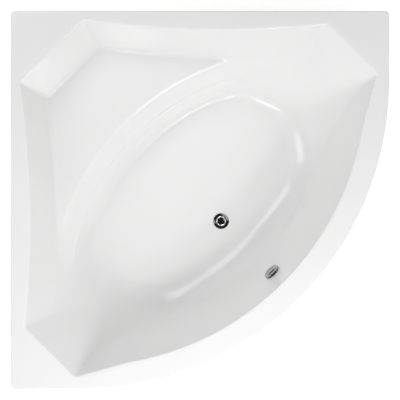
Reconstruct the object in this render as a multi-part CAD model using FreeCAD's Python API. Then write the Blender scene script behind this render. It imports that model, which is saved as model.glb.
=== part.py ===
"""Corner bathtub with a moulded corner seat, a lens-shaped footwell and a pop-up waste.

Frame: millimetres, +Z up, origin on the room's floor under the middle of the square that the
rim fits in. The room's corner is at -X +Y, and the curved front faces +X -Y. Most of the tub is
the same either side of the diagonal through the room's corner, so it is drawn in a frame turned
by 45 degrees: "along" runs from one end of the footwell to the other, and "back" runs from the
curved front towards the room's corner.
"""
import FreeCAD, Part
import math
import os

# --- overall sizes ---------------------------------------------------------------------------
WALL_SIDE = 1500.0            # length of each side that stands against a wall
RIM_TOP = 600.0               # floor of the room to the top of the rim
DEPTH = 430.0                 # top of the rim to the bottom of the footwell
FRONT_STRAIGHT = 280.0        # straight part of each side before the front curve starts
CORNER_ROUND = 14.0           # outside corners of the rim

# --- shell -----------------------------------------------------------------------------------
SHEET = 6.0                   # acrylic with its glass-fibre backing
RIM_EDGE_ROUND = 5.0
SKIRT_HEIGHT = 40.0           # turned-down edge of the rim
FRONT_RIM = 92.0              # width of the rim along the curved front
WALL_RIM_BACK = 36.0          # width of the rim along a wall, at the room's corner
WALL_RIM_END = 53.0           # the same at the far end
SIDE_BOW = 31.0               # how far the opening's long edges bow inwards
BACK_CUT = 227.0              # room's corner of the rim to the cut corner of the opening
END_CUT = 211.0               # each end corner of the rim to the headrest edge
BACK_RUN = 0.337              # slopes of the walls, as run for each unit of depth
END_RUN = 0.68
FRONT_RUN = 0.28
SIDE_RUN_BACK = 0.30
SIDE_RUN_END = 0.50
FLOOR_ROUND = 120.0           # radius where the walls turn into the bottom
SEAT_DEPTH = 210.0            # top of the rim to the corner seat
SEAT_FRONT_RADIUS = 1052.0    # plan radius of the seat's front edge
SEAT_FRONT_BACK = 452.0       # middle of that edge, back from the tub's centre
SEAT_EDGE_ROUND = 30.0
SEAT_BEND_RUN = 56.0          # soft bend part of the way down the front of the seat
SEAT_BEND_DROP = 96.0
SEAT_FOOT_RUN = 94.0          # from the seat's edge to the foot of its front
SEAT_BEND_ROUND = 60.0
SEAT_FOOT_ROUND = 55.0

# --- waste, plug and overflow ------------------------------------------------------------------
WASTE_BACK = -134.0           # place of the waste, on the diagonal
WASTE_HOLE = 54.0
WASTE_FLANGE = 70.0
WASTE_THROAT = 48.0           # bore of the flange, which the plug closes
FLANGE_LIFT = 3.0             # height of the flange over the bottom of the tub
PLUG_DIAMETER = 45.0
STEM_DIAMETER = 8.0
GUIDE_CLEARANCE = 0.05        # radial clearance of a sliding or turning fit
RUNNING_GAP = 0.4             # free gap between pieces that move past each other
SEAL_THICK = 2.5
SEAL_INSET = 2.0              # seal's edge inside the edge of the flange that covers it
SPOKE_WIDTH = 4.0             # arms that hold the guide of the stem, and of the spindle
SPOKE_HEIGHT = 5.0
THROAT_LENGTH = 24.0          # flange's threaded tube, under the tub
GUIDE_DEPTH = 4.0             # underside of the tub to the top of the arms
BODY_WALL = 3.0
BODY_COLLAR = 10.0            # how far the waste body's collar stands out
BODY_CUP = 58.0               # outside of the waste body under the tub
BODY_HEIGHT = 78.0            # underside of the tub to the bottom of the waste body
PIPE_SIZE = 32.0              # outside of the overflow pipe
PIPE_WALL = 2.0
PIPE_DROP = 46.0              # underside of the tub to the axis of the side branch
PIPE_BEND = 85.0
OVERFLOW_DEPTH = 138.0        # top of the rim to the middle of the overflow
OVERFLOW_HOLE = 52.0
OVERFLOW_ROSE = 74.0
ROSE_CLEARANCE = 0.1          # flat back of the rose to the curved wall, at the rose's sides
TUBE_CLEARANCE = 1.0          # radial gap of the rose's tube in the hole of the wall
OVERFLOW_KNOB = 68.0
KNOB_HEIGHT = 7.0
KNOB_STANDOFF = 2.5           # open ring behind the knob, where the water leaves
SPINDLE_DIAMETER = 10.0
ELBOW_DEPTH = 34.0
ROSE_HEIGHT = 2.5
SLOT_LENGTH = 34.0            # opening in the knob, for the water and the fingers
SLOT_WIDTH = 13.0
SLOT_PLACE = 14.0             # its middle, above the knob's middle
SOCKET_LENGTH = 24.0
GLAND_LENGTH = 12.0           # straight guide where the cable leaves the chamber
CABLE_DIAMETER = 5.0
CABLE_OFFSET = 24.0           # cable's gland beside the overflow pipe
CABLE_LIFT = 6.0              # end of the gland over the middle of the pipe's socket
UPPER_SEAL = 1.5
PLUG_THICK = 3.0
PLUG_DOME = 3.0               # rise of the plug's crown
PLUG_SINK = 1.0               # closed plug's edge below the face of the flange
STEM_GAP = 0.3                # free gap between the stem and the lever's tip
LEVER_ARM = 20.0              # pin to the tip that lifts the stem
LEVER_THICK = 6.0
LEVER_BOSS = 10.0
PIN_DIAMETER = 4.0
CABLE_DROP = 12.0             # lever's pin down to the cable
LEVER_DROP = 34.0             # underside of the tub to the lever's pin

# --- trap ------------------------------------------------------------------------------------
TRAP_PIPE = 40.0              # outside of the drain pipe
TRAP_POT = 84.0
TRAP_HEIGHT = 56.0            # the pot hangs from the waste body
TRAP_OUTLET_DROP = 24.0       # top of the pot to the axis of its outlet
TRAP_OUTLET_LENGTH = 190.0    # waste's axis to the open end of the drain pipe
TRAP_TURN = 45.0              # the outlet's bearing: towards the room's wall at +Y
SPIGOT_RELIEF = 0.3           # the pipe is turned down by this much inside the socket and its nut
SPIGOT_SHOW = 1.0             # how far the turned-down end shows past the nut
TRAP_SEAL = 1.0
SOCKET_WALL = 4.0             # wall of the trap's outlet socket, with its thread
OUTLET_SIZE = 48.0            # threaded outlet of the waste body and neck of the trap
OUTLET_LENGTH = 9.0
NUT_WALL = 5.0
NUT_HEIGHT = 16.0
NUT_CLEARANCE = 1.0           # trap's nut to the top of the pot

# --- base board, rails and feet ------------------------------------------------------------------
BOARD_THICK = 16.0
BOARD_MARGIN = 8.0            # edge of the flat bottom to the edge of the board
BOARD_HOLE = 130.0            # room for the waste
RAIL_WIDTH = 40.0
RAIL_HEIGHT = 24.0
RAIL_WALL = 2.5
RAIL_SPREAD = 330.0           # each side rail, along from the diagonal
RAIL_FRONT_GAP = 15.0         # front wall of the tub to the rod of a raised foot
RAIL_REAR_GAP = 40.0          # front of the seat to the rod of a raised foot
SPINE_FRONT = 40.0            # ends of the rail that runs into the corner
SPINE_REAR = 800.0
FOOT_INSET = 45.0             # rail's end to the foot
FOOT_ROD = 12.0
ROD_CLEARANCE = 0.5           # radial gap of a rod in its rail
FOOT_ROD_SPARE = 10.0         # rod above the upper nut with the foot screwed right down
FOOT_PAD = 60.0
FOOT_PAD_HEIGHT = 24.0
FOOT_SOLE = 6.0               # rubber and plastic under the rod's end
FOOT_DOWN = 30.0              # levelling travel below and above the foot's height at rest
FOOT_UP = 20.0
HEX_FLATS = 19.0
HEX_HEIGHT = 10.0
SCREW_DIAMETER = 4.0
SCREW_HEAD = 8.5
SCREW_HEAD_HEIGHT = 2.6
SCREW_LENGTH = 15.0

# --- front panel, battens and wall hangers ---------------------------------------------------------
PANEL_THICK = 4.0
PANEL_GAP = 1.0               # inside of the rim's skirt to the panel
PANEL_TOP_GAP = 1.0           # under the rim
PANEL_BOTTOM = 5.0
PANEL_LIP = 22.0              # inward lip along the top of the panel
PANEL_END = 15.0              # room's wall to each end of the panel
PLINTH_HEIGHT = 70.0          # recessed band along the foot
PLINTH_INSET = 8.0
BRACKET_LEG = 40.0
BRACKET_HEIGHT = 56.0
BRACKET_WALL = 2.0
BRACKET_WIDTH = 50.0
BRACKET_ANGLES = (-36.0, 0.0, 36.0)
PANEL_SCREW_HEIGHT = 32.0
CAP_DIAMETER = 14.0
CAP_WALL = 1.2
CAP_CLEARANCE = 0.2           # radial gap of a cap over its screw's head
CURVE_GAP = 0.3               # between a flat piece and a curved one
CLIP_LEAF = 30.0
FLOOR_HOLE = 5.5
BATTEN_HEIGHT = 24.0
BATTEN_WIDTH = 18.0
BATTEN_START = 200.0          # from the room's corner, along each wall
BATTEN_END = 1180.0
HANGER_WIDTH = 60.0
HANGER_WALL = 2.5
HANGER_DROP = 62.0            # wall plate under the skirt
HANGER_GAP = 0.5              # hook's lip to the back of the skirt
HANGER_HOLE = 6.5
HANGER_HOLE_SPACING = 36.0
HANGER_PLACES = (420.0, 1080.0)   # from the room's corner, along each wall

# --- worked out from the sizes above -----------------------------------------------------------
HALF = WALL_SIDE / 2
FLOOR_Z = RIM_TOP - DEPTH
UNDERSIDE = FLOOR_Z - SHEET
SEAT_Z = RIM_TOP - SEAT_DEPTH
FRONT_R = WALL_SIDE - FRONT_STRAIGHT
FRONT_CENTRE = math.sqrt(2) * (FRONT_R - HALF)
CORNER_REACH = math.sqrt(2) * HALF
BACK_REACH = CORNER_REACH - BACK_CUT
END_REACH = CORNER_REACH - END_CUT
FRONT_REACH = FRONT_R - FRONT_RIM
SEAT_CENTRE = SEAT_FRONT_BACK - SEAT_FRONT_RADIUS


def foot_tangent(radius, lean):
    """Length that a round foot takes from the flat bottom beside a leaning wall."""
    return radius * math.tan(math.pi / 4 - lean / 2)


SEAT_FOOT_LEAN = math.atan((SEAT_FOOT_RUN - SEAT_BEND_RUN) / (DEPTH - SEAT_DEPTH - SEAT_BEND_DROP))
FRONT_FLAT = FRONT_REACH - FRONT_RUN * DEPTH - foot_tangent(FLOOR_ROUND, math.atan(FRONT_RUN))
REAR_FLAT = SEAT_FRONT_RADIUS - SEAT_FOOT_RUN - foot_tangent(SEAT_FOOT_ROUND, SEAT_FOOT_LEAN)
END_FLAT = END_REACH - END_RUN * DEPTH - foot_tangent(FLOOR_ROUND, math.atan(END_RUN))
BOARD_FRONT_R = FRONT_FLAT - BOARD_MARGIN
BOARD_REAR_R = REAR_FLAT - BOARD_MARGIN
BOARD_HALF_LENGTH = END_FLAT - BOARD_MARGIN
BOARD_BOTTOM = UNDERSIDE - BOARD_THICK
SCREW_TOP = BOARD_BOTTOM - RAIL_WALL + SCREW_LENGTH
PANEL_TOP = RIM_TOP - SHEET - PANEL_TOP_GAP
HANGER_HOLE_Z = RIM_TOP - SKIRT_HEIGHT - HANGER_DROP / 2
THROAT_OUTSIDE = BODY_CUP - 2 * BODY_WALL
THROAT_BOTTOM = UNDERSIDE - THROAT_LENGTH
GUIDE_TOP = UNDERSIDE - GUIDE_DEPTH
PLUG_BOTTOM = FLOOR_Z + UPPER_SEAL + FLANGE_LIFT - PLUG_THICK - PLUG_SINK
LEVER_Z = UNDERSIDE - LEVER_DROP
STEM_BOTTOM = LEVER_Z + LEVER_THICK / 2 + STEM_GAP
BODY_FLANGE = BODY_CUP + 2 * BODY_COLLAR
BRANCH_REACH = BODY_CUP / 2 + SOCKET_LENGTH
PIPE_Z = UNDERSIDE - PIPE_DROP
CABLE_END_Z = LEVER_Z - CABLE_DROP
TRAP_JOINT = UNDERSIDE - BODY_HEIGHT - OUTLET_LENGTH
TRAP_TOP = TRAP_JOINT - NUT_HEIGHT / 2 - NUT_CLEARANCE
TRAP_BOTTOM = TRAP_TOP - TRAP_HEIGHT
TRAP_OUTLET_HEIGHT = TRAP_TOP - TRAP_OUTLET_DROP
TRAP_SOCKET = TRAP_PIPE + 2 * SOCKET_WALL
TRAP_SOCKET_END = TRAP_POT / 2 + 34.0
OVERFLOW_TUBE = OVERFLOW_HOLE - 2 * TUBE_CLEARANCE
RAIL_BOTTOM = BOARD_BOTTOM - RAIL_HEIGHT
FOOT_ROD_TOP = BOARD_BOTTOM + HEX_HEIGHT + FOOT_DOWN + FOOT_ROD_SPARE
RAISED_TOP = FOOT_ROD_TOP + FOOT_UP
FRONT_OUTSIDE = FRONT_REACH - FRONT_RUN * (RIM_TOP - RAISED_TOP) + SHEET * math.hypot(1, FRONT_RUN)
SEAT_FOOT_SLOPE = math.tan(SEAT_FOOT_LEAN)
SEAT_OUTSIDE = (SEAT_FRONT_RADIUS - SEAT_FOOT_RUN + SEAT_FOOT_SLOPE * (RAISED_TOP - FLOOR_Z)
                + SHEET * math.hypot(1, SEAT_FOOT_SLOPE))
FRONT_FOOT_R = FRONT_OUTSIDE + RAIL_FRONT_GAP + FOOT_ROD / 2
REAR_FOOT_R = SEAT_OUTSIDE + RAIL_REAR_GAP + FOOT_ROD / 2
RAIL_FRONT = FRONT_CENTRE - math.sqrt(FRONT_FOOT_R ** 2 - RAIL_SPREAD ** 2) - FOOT_INSET
RAIL_REAR = SEAT_CENTRE + math.sqrt(REAR_FOOT_R ** 2 - RAIL_SPREAD ** 2) + FOOT_INSET
BEYOND = 3 * WALL_SIDE
ABOVE = DEPTH / 8
FRONT_LEAN = math.atan(FRONT_RUN)

UP = FreeCAD.Vector(0, 0, 1)
ORIGIN = FreeCAD.Vector(0, 0, 0)
FOOT_NAMES = ("front_left", "front_right", "rear_left", "rear_right", "corner")


def vec(x, y, z=0.0):
    return FreeCAD.Vector(x, y, z)


OVERFLOW_POINT = vec(0, FRONT_CENTRE - FRONT_REACH + FRONT_RUN * OVERFLOW_DEPTH, RIM_TOP - OVERFLOW_DEPTH)
OVERFLOW_FACING = vec(0, math.cos(FRONT_LEAN), math.sin(FRONT_LEAN))
ROSE_SEAT = OVERFLOW_ROSE ** 2 / 8 / (FRONT_REACH - FRONT_RUN * OVERFLOW_DEPTH) + ROSE_CLEARANCE
ROSE_FACE = ROSE_SEAT + ROSE_HEIGHT
KNOB_BACK = ROSE_FACE + KNOB_STANDOFF
CHAMBER_MIDDLE = OVERFLOW_POINT - OVERFLOW_FACING * (SHEET + SEAL_THICK + ELBOW_DEPTH / 2)
PIPE_BACK = CHAMBER_MIDDLE.y
PIPE_TOP = CHAMBER_MIDDLE.z - OVERFLOW_HOLE / 2 - SOCKET_LENGTH / 2
CABLE_START = vec(CABLE_OFFSET, PIPE_BACK, PIPE_TOP + CABLE_LIFT)
CABLE_END = vec(BODY_CUP / 2 - BODY_WALL, WASTE_BACK, CABLE_END_Z)
CABLE_FROM_START = ((0, 0, 0), (0, 0, -60), (7, 4, -126), (10, 10, -196), (34, 28, -262), (72, 66, -302))
CABLE_TO_END = ((84, -172, -16), (100, -104, -8), (100, -40, -2), (60, 0, 0), (0, 0, 0))
CABLE_ROUTE = [CABLE_START + vec(*step) for step in CABLE_FROM_START]
CABLE_ROUTE += [CABLE_END + vec(*step) for step in CABLE_TO_END]


def turned(shape, angle=45.0):
    """A copy of a shape drawn in the along/back frame, turned into the tub's frame."""
    shape = shape.copy()
    shape.rotate(ORIGIN, UP, angle)
    return shape


def mirrored(shape):
    """A copy on the other side of the diagonal, in the along/back frame."""
    return shape.mirror(ORIGIN, vec(1, 0))


def solid_from(faces_source):
    """The same shape as one solid, with split faces joined again."""
    return faces_source.removeSplitter()


def cylinder(diameter, low, high, at=ORIGIN):
    return Part.makeCylinder(diameter / 2, high - low, vec(at.x, at.y, at.z + low))


def ring(outer, inner, low, high, at=ORIGIN):
    return cylinder(outer, low, high, at).cut(cylinder(inner, low - 1, high + 1, at))


def hexagon(flats, low, high, at=ORIGIN):
    reach = flats / math.sqrt(3)
    points = [vec(reach * math.cos(math.radians(a)), reach * math.sin(math.radians(a)), low)
              for a in range(0, 361, 60)]
    prism = Part.Face(Part.makePolygon(points)).extrude(vec(0, 0, high - low))
    prism.translate(at)
    return prism


def laid(shape, point, direction):
    """A shape built on the Z axis, moved to a point with its Z along a direction."""
    shape = shape.copy()
    shape.Placement = FreeCAD.Placement(point, FreeCAD.Rotation(UP, direction)).multiply(shape.Placement)
    return shape


# --- profiles of lines and arcs, drawn as (reach, height) points ----------------------------------

def shifted_profile(points, radii, shift):
    """The profile moved to its left by a shift, with the radii of its bends to match."""
    count = len(points)
    moved = []
    normals = []
    for (ax, az), (bx, bz) in zip(points, points[1:]):
        length = math.hypot(bx - ax, bz - az)
        normals.append((-(bz - az) / length, (bx - ax) / length))
    for i, (px, pz) in enumerate(points):
        before = normals[max(i - 1, 0)]
        after = normals[min(i, count - 2)]
        scale = shift / (1 + before[0] * after[0] + before[1] * after[1])
        moved.append((px + (before[0] + after[0]) * scale, pz + (before[1] + after[1]) * scale))
    new_radii = []
    for i, radius in enumerate(radii):
        before, after = normals[i], normals[i + 1]
        turn = before[0] * after[1] - before[1] * after[0]
        new_radii.append(radius - math.copysign(shift, turn))
    return moved, new_radii


def profile_edges(points, radii):
    """Edges in the XZ plane along the points, with each bend rounded to its radius."""
    edges = []
    start = vec(points[0][0], 0, points[0][1])
    for i, radius in enumerate(radii):
        before = vec(points[i][0], 0, points[i][1])
        corner = vec(points[i + 1][0], 0, points[i + 1][1])
        after = vec(points[i + 2][0], 0, points[i + 2][1])
        back = (before - corner).normalize()
        ahead = (after - corner).normalize()
        half = back.getAngle(ahead) / 2
        setback = radius / math.tan(half)
        first = corner + back * setback
        last = corner + ahead * setback
        middle = corner + (back + ahead).normalize() * (radius / math.sin(half) - radius)
        edges.append(Part.makeLine(start, first))
        edges.append(Part.Arc(first, middle, last).toShape())
        start = last
    edges.append(Part.makeLine(start, vec(points[-1][0], 0, points[-1][1])))
    return edges


def closed_face(edges, extra_points):
    """A face bounded by the edges and then by straight lines through the extra points."""
    points = [edges[-1].lastVertex(True).Point] + [vec(x, 0, z) for x, z in extra_points]
    points.append(edges[0].firstVertex(True).Point)
    lines = [Part.makeLine(a, b) for a, b in zip(points, points[1:])]
    return Part.Face(Part.Wire(Part.__sortEdges__(edges + lines)))


# --- the basin -------------------------------------------------------------------------------

def wall_profile(reach, run, grow):
    """Bottom, round foot and sloping wall, moved out by the thickness to grow."""
    foot = reach - run * DEPTH
    points = [(0.0, FLOOR_Z), (foot, FLOOR_Z), (reach + run * ABOVE, RIM_TOP + ABOVE)]
    points, radii = shifted_profile(points, [FLOOR_ROUND], -grow)
    return profile_edges(points, radii)


def front_basin(grow):
    """The room inside the curved front wall, over the flat bottom."""
    edges = wall_profile(FRONT_REACH, FRONT_RUN, grow)
    face = closed_face(edges, [(0.0, RIM_TOP + ABOVE)])
    basin = face.revolve(ORIGIN, UP, 360)
    basin.translate(vec(0, FRONT_CENTRE))
    return basin


def flat_basin(reach, run, grow, bearing):
    """The room inside one flat wall, which leans away at a bearing from the "along" axis."""
    edges = wall_profile(reach, run, grow)[1:]
    foot = edges[0].firstVertex(True).Point
    low = foot.z - DEPTH / 4
    face = closed_face(edges, [(-BEYOND, RIM_TOP + ABOVE), (-BEYOND, low), (foot.x, low)])
    basin = face.extrude(vec(0, 2 * BEYOND))
    basin.translate(vec(0, -BEYOND))
    return turned(basin, bearing)


def side_basin(grow):
    """The room inside the long wall beside a room wall: bowed at the rim, straight at the foot."""
    back_x = -math.sqrt(2) * BACK_REACH + HALF - WALL_RIM_BACK
    end_x = math.sqrt(2) * END_REACH - HALF + WALL_RIM_END
    middle_x = (back_x + end_x) / 2
    half_x = (end_x - back_x) / 2
    out = grow * math.hypot(1, (SIDE_RUN_BACK + SIDE_RUN_END) / 2)

    def wall_wire(z):
        below = RIM_TOP - z
        back_y = HALF - WALL_RIM_BACK - SIDE_RUN_BACK * below + out
        end_y = HALF - WALL_RIM_END - SIDE_RUN_END * below + out
        bow = SIDE_BOW * (1 - below / DEPTH)
        low_x = middle_x - 2 * half_x
        high_x = middle_x + 2 * half_x

        def wall_y(x):
            u = (x - middle_x) / half_x
            return (back_y + end_y) / 2 + (end_y - back_y) / 2 * u - bow * (1 - u * u)

        tangent = (end_y - back_y) / 2 / half_x - 4 * bow / half_x
        curve = Part.BezierCurve()
        curve.setPoles([vec(low_x, wall_y(low_x), z),
                        vec(middle_x, wall_y(low_x) + tangent * 2 * half_x, z),
                        vec(high_x, wall_y(high_x), z)])
        far = [vec(high_x, wall_y(high_x), z), vec(high_x, -BEYOND, z),
               vec(low_x, -BEYOND, z), vec(low_x, wall_y(low_x), z)]
        return Part.Wire([curve.toShape()] + [Part.makeLine(a, b) for a, b in zip(far, far[1:])])

    basin = Part.makeLoft([wall_wire(RIM_TOP + ABOVE), wall_wire(FLOOR_Z - DEPTH / 4)], True, True)
    return turned(basin, -45.0)


def seat_block(grow):
    """What stands in the basin as the corner seat: flat top, round edge and two-slope front."""
    edge = SEAT_FRONT_RADIUS
    foot = edge - SEAT_FOOT_RUN
    points = [(BEYOND, SEAT_Z), (edge, SEAT_Z), (edge - SEAT_BEND_RUN, SEAT_Z - SEAT_BEND_DROP),
              (foot, FLOOR_Z), (0.0, FLOOR_Z)]
    radii = [SEAT_EDGE_ROUND, SEAT_BEND_ROUND, SEAT_FOOT_ROUND]
    points, radii = shifted_profile(points, radii, grow)
    edges = profile_edges(points, radii)[:-1]
    end = edges[-1].lastVertex(True).Point
    low = FLOOR_Z - DEPTH
    block = closed_face(edges, [(end.x, low), (BEYOND, low)]).revolve(ORIGIN, UP, 180)
    block.translate(vec(0, SEAT_CENTRE))
    return block


def basin(grow=0.0):
    """The hollow of the tub, or its outside when grown by the thickness of the sheet."""
    side = side_basin(grow)
    hollow = front_basin(grow)
    walls = [flat_basin(BACK_REACH, BACK_RUN, grow, 90.0), flat_basin(END_REACH, END_RUN, grow, 0.0),
             flat_basin(END_REACH, END_RUN, grow, 180.0), side, mirrored(side)]
    for wall in walls:
        hollow = hollow.common(wall)
    return hollow.cut(seat_block(grow))


# --- the rim -----------------------------------------------------------------------------------

def rim_edges(inset, z):
    """Outline of the rim, moved inwards: two wall sides, two short straights and the front curve."""
    half = HALF - inset
    radius = FRONT_R - inset
    tangent = FRONT_R - HALF
    corner = max(CORNER_ROUND - inset, 1.0)
    centre = vec(-tangent, tangent, z)
    diagonal = math.sqrt(0.5)
    front = Part.Arc(vec(-tangent, -half, z), centre + vec(radius * diagonal, -radius * diagonal),
                     vec(half, tangent, z)).toShape()
    edges = [front]

    def corner_arc(x, y, from_x, from_y):
        """A round corner; its first end lies towards (from_x, from_y)."""
        middle = vec(x - math.copysign(corner, x), y - math.copysign(corner, y), z)
        out = vec(math.copysign(corner * diagonal, x), math.copysign(corner * diagonal, y))
        ends = [vec(x, middle.y, z), vec(middle.x, y, z)]
        if abs(from_x - x) > abs(from_y - y):
            ends.reverse()
        return ends[0], Part.Arc(ends[0], middle + out, ends[1]).toShape(), ends[1]

    last = vec(half, tangent, z)
    for x, y in ((half, half), (-half, half), (-half, -half)):
        first_end, arc, second_end = corner_arc(x, y, last.x, last.y)
        edges += [Part.makeLine(last, first_end), arc]
        last = second_end
    edges.append(Part.makeLine(last, vec(-tangent, -half, z)))
    return edges


def rim_prism(inset, low, high):
    return Part.Face(Part.Wire(rim_edges(inset, low))).extrude(vec(0, 0, high - low))


def bath_shell():
    rim = rim_prism(0.0, RIM_TOP - SKIRT_HEIGHT, RIM_TOP)
    top_edges = [e for e in rim.Edges if e.BoundBox.ZMin > RIM_TOP - 0.01]
    rim = rim.makeFillet(RIM_EDGE_ROUND, top_edges)
    rim = rim.cut(rim_prism(SHEET, RIM_TOP - 2 * SKIRT_HEIGHT, RIM_TOP - SHEET))
    below_rim = Part.makeBox(BEYOND, BEYOND, RIM_TOP - SHEET, vec(-BEYOND / 2, -BEYOND / 2, 0))
    outside = turned(basin(SHEET)).common(below_rim)
    shell = rim.fuse(outside).cut(turned(basin()))
    shell = shell.cut(turned(cylinder(WASTE_HOLE, 0, FLOOR_Z + SHEET, vec(0, WASTE_BACK))))
    shell = shell.cut(turned(at_overflow(cylinder(OVERFLOW_HOLE, -5 * SHEET, SHEET))))
    return solid_from(shell)


# --- waste, plug and trap, all on the waste's own axis -----------------------------------------

def at_waste(shape):
    """A shape drawn about the Z axis, moved to the waste, still in the along/back frame."""
    shape.translate(vec(0, WASTE_BACK))
    return shape


def spokes(reach, hub, bore, high):
    """Three arms with a bored hub, as under a plug."""
    low = high - SPOKE_HEIGHT
    cross = cylinder(hub, low, high)
    arm = Part.makeBox(reach, SPOKE_WIDTH, SPOKE_HEIGHT, vec(0, -SPOKE_WIDTH / 2, low))
    cross = cross.fuse([turned(arm, angle) for angle in (90.0, 210.0, 330.0)])
    return cross.cut(cylinder(bore, low - 1, high + 1))


def waste_flange():
    base = FLOOR_Z + UPPER_SEAL
    flange = cylinder(WASTE_FLANGE, base, base + FLANGE_LIFT)
    edge = [e for e in flange.Edges if e.BoundBox.ZMin > base + FLANGE_LIFT - 0.01]
    flange = flange.makeFillet(FLANGE_LIFT * 0.6, edge)
    throat = cylinder(THROAT_OUTSIDE, THROAT_BOTTOM, base)
    flange = flange.fuse(throat).cut(cylinder(WASTE_THROAT, THROAT_BOTTOM - 1, base + FLANGE_LIFT + 1))
    guide = STEM_DIAMETER + 2 * GUIDE_CLEARANCE
    cross = spokes(WASTE_THROAT / 2 + 0.5, 2 * STEM_DIAMETER, guide, GUIDE_TOP)
    return solid_from(flange.fuse(cross))


def plug():
    """Flat disc with a low dome, held level with the flange."""
    edge = PLUG_BOTTOM + PLUG_THICK
    radius = (PLUG_DIAMETER ** 2 / 4 + PLUG_DOME ** 2) / (2 * PLUG_DOME)
    dome = Part.makeSphere(radius, vec(0, 0, edge + PLUG_DOME - radius))
    dome = dome.common(cylinder(PLUG_DIAMETER, edge, edge + 2 * PLUG_DOME))
    return solid_from(cylinder(PLUG_DIAMETER, PLUG_BOTTOM, edge).fuse(dome))


def plug_seal():
    outside = WASTE_THROAT - 2 * RUNNING_GAP
    return ring(outside, PLUG_DIAMETER * 0.6, PLUG_BOTTOM - SEAL_THICK, PLUG_BOTTOM)


def plug_stem():
    """Rod under the plug, with a wide head that bears on its underside."""
    rod = cylinder(STEM_DIAMETER, STEM_BOTTOM, PLUG_BOTTOM - SEAL_THICK)
    return rod.fuse(cylinder(PLUG_DIAMETER * 0.6, PLUG_BOTTOM - SEAL_THICK, PLUG_BOTTOM))


def lift_lever():
    """Two-armed lever: one tip lies under the stem, the other arm is pushed by the cable."""
    thick = LEVER_THICK
    arm = Part.makeBox(LEVER_ARM, thick, thick, vec(0, -thick / 2, LEVER_Z - thick / 2))
    corner = vec(LEVER_ARM - thick / 2, -thick / 2, CABLE_END_Z)
    lever = arm.fuse(Part.makeBox(thick, thick, CABLE_DROP, corner))
    bosses = ((0, LEVER_Z, thick / 2), (LEVER_ARM, LEVER_Z, LEVER_BOSS / 2),
              (LEVER_ARM, CABLE_END_Z, thick / 2))
    for x, z, radius in bosses:
        lever = lever.fuse(Part.makeCylinder(radius, thick, vec(x, -thick / 2, z), vec(0, 1, 0)))
    bore = PIN_DIAMETER / 2 + GUIDE_CLEARANCE
    hole = Part.makeCylinder(bore, 2 * thick, vec(LEVER_ARM, -thick, LEVER_Z), vec(0, 1, 0))
    return solid_from(lever.cut(hole))


def lever_pin():
    half = math.sqrt(BODY_CUP ** 2 / 4 - LEVER_ARM ** 2)
    return Part.makeCylinder(PIN_DIAMETER / 2, 2 * half, vec(LEVER_ARM, -half, LEVER_Z), vec(0, 1, 0))


def waste_body():
    """Moulded cup under the tub, with a side branch for the overflow and a threaded outlet."""
    top = UNDERSIDE - SEAL_THICK
    bottom = UNDERSIDE - BODY_HEIGHT
    cup = cylinder(BODY_CUP, bottom, top).fuse(cylinder(BODY_FLANGE, top - BODY_WALL - 1, top))
    cup = cup.fuse(cylinder(OUTLET_SIZE, bottom - OUTLET_LENGTH, bottom))
    forward = vec(0, -1, 0)
    cup = cup.fuse(Part.makeCylinder(PIPE_SIZE / 2 + BODY_WALL, BRANCH_REACH, vec(0, 0, PIPE_Z), forward))
    cup = cup.cut(cylinder(THROAT_OUTSIDE, bottom + BODY_WALL, top + 1))
    cup = cup.cut(cylinder(OUTLET_SIZE - 2 * BODY_WALL, bottom - OUTLET_LENGTH - 1, bottom + 2 * BODY_WALL))
    socket_start = vec(0, -THROAT_OUTSIDE / 2, PIPE_Z)
    cup = cup.cut(Part.makeCylinder(PIPE_SIZE / 2, BRANCH_REACH, socket_start, forward))
    cup = cup.cut(Part.makeCylinder(PIPE_SIZE / 2 - PIPE_WALL, BRANCH_REACH, vec(0, 0, PIPE_Z), forward))
    cable_hole = CABLE_DIAMETER / 2 + GUIDE_CLEARANCE
    cup = cup.cut(Part.makeCylinder(cable_hole, BODY_CUP, vec(0, 0, CABLE_END_Z), vec(1, 0, 0)))
    return solid_from(cup.cut(lever_pin()))


def trap_pot():
    """Round pot with a dip tube, so that it stays full of water, and a side outlet."""
    neck_top = TRAP_JOINT - TRAP_SEAL
    pot = cylinder(TRAP_POT, TRAP_BOTTOM, TRAP_TOP)
    pot = pot.fuse(lying(cylinder(TRAP_SOCKET, 0, TRAP_SOCKET_END), TRAP_OUTLET_HEIGHT))
    pot = pot.cut(cylinder(TRAP_POT - 2 * BODY_WALL, TRAP_BOTTOM + BODY_WALL, TRAP_TOP - BODY_WALL))
    way = cylinder(TRAP_PIPE, TRAP_POT / 2 - 2 * BODY_WALL, TRAP_SOCKET_END + 1)
    pot = pot.cut(lying(way, TRAP_OUTLET_HEIGHT))
    pot = pot.fuse(cylinder(OUTLET_SIZE, TRAP_BOTTOM + 4 * BODY_WALL, neck_top))
    return solid_from(pot.cut(cylinder(OUTLET_SIZE - 2 * BODY_WALL, TRAP_BOTTOM + BODY_WALL, neck_top + 1)))


def ribbed_nut(outside, inside, low, high):
    """Plastic union nut with gripping ribs."""
    nut = cylinder(outside, low, high)
    for i in range(12):
        angle = 2 * math.pi * i / 12
        place = vec(outside / 2 * math.cos(angle), outside / 2 * math.sin(angle))
        nut = nut.fuse(cylinder(NUT_WALL * 0.8, low, high, place))
    return solid_from(nut.cut(cylinder(inside, low - 1, high + 1)))


def trap_nut():
    outside = OUTLET_SIZE + 2 * NUT_WALL
    return ribbed_nut(outside, OUTLET_SIZE, TRAP_JOINT - NUT_HEIGHT / 2, TRAP_JOINT + NUT_HEIGHT / 2)


def trap_seal():
    return ring(OUTLET_SIZE, OUTLET_SIZE - 2 * BODY_WALL, TRAP_JOINT - TRAP_SEAL, TRAP_JOINT)


def lying(shape, height):
    """A piece drawn on the Z axis, laid down at a height to point the way the trap's outlet does."""
    turn = math.radians(TRAP_TURN)
    return laid(shape, vec(0, 0, height), vec(math.cos(turn), math.sin(turn)))


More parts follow.
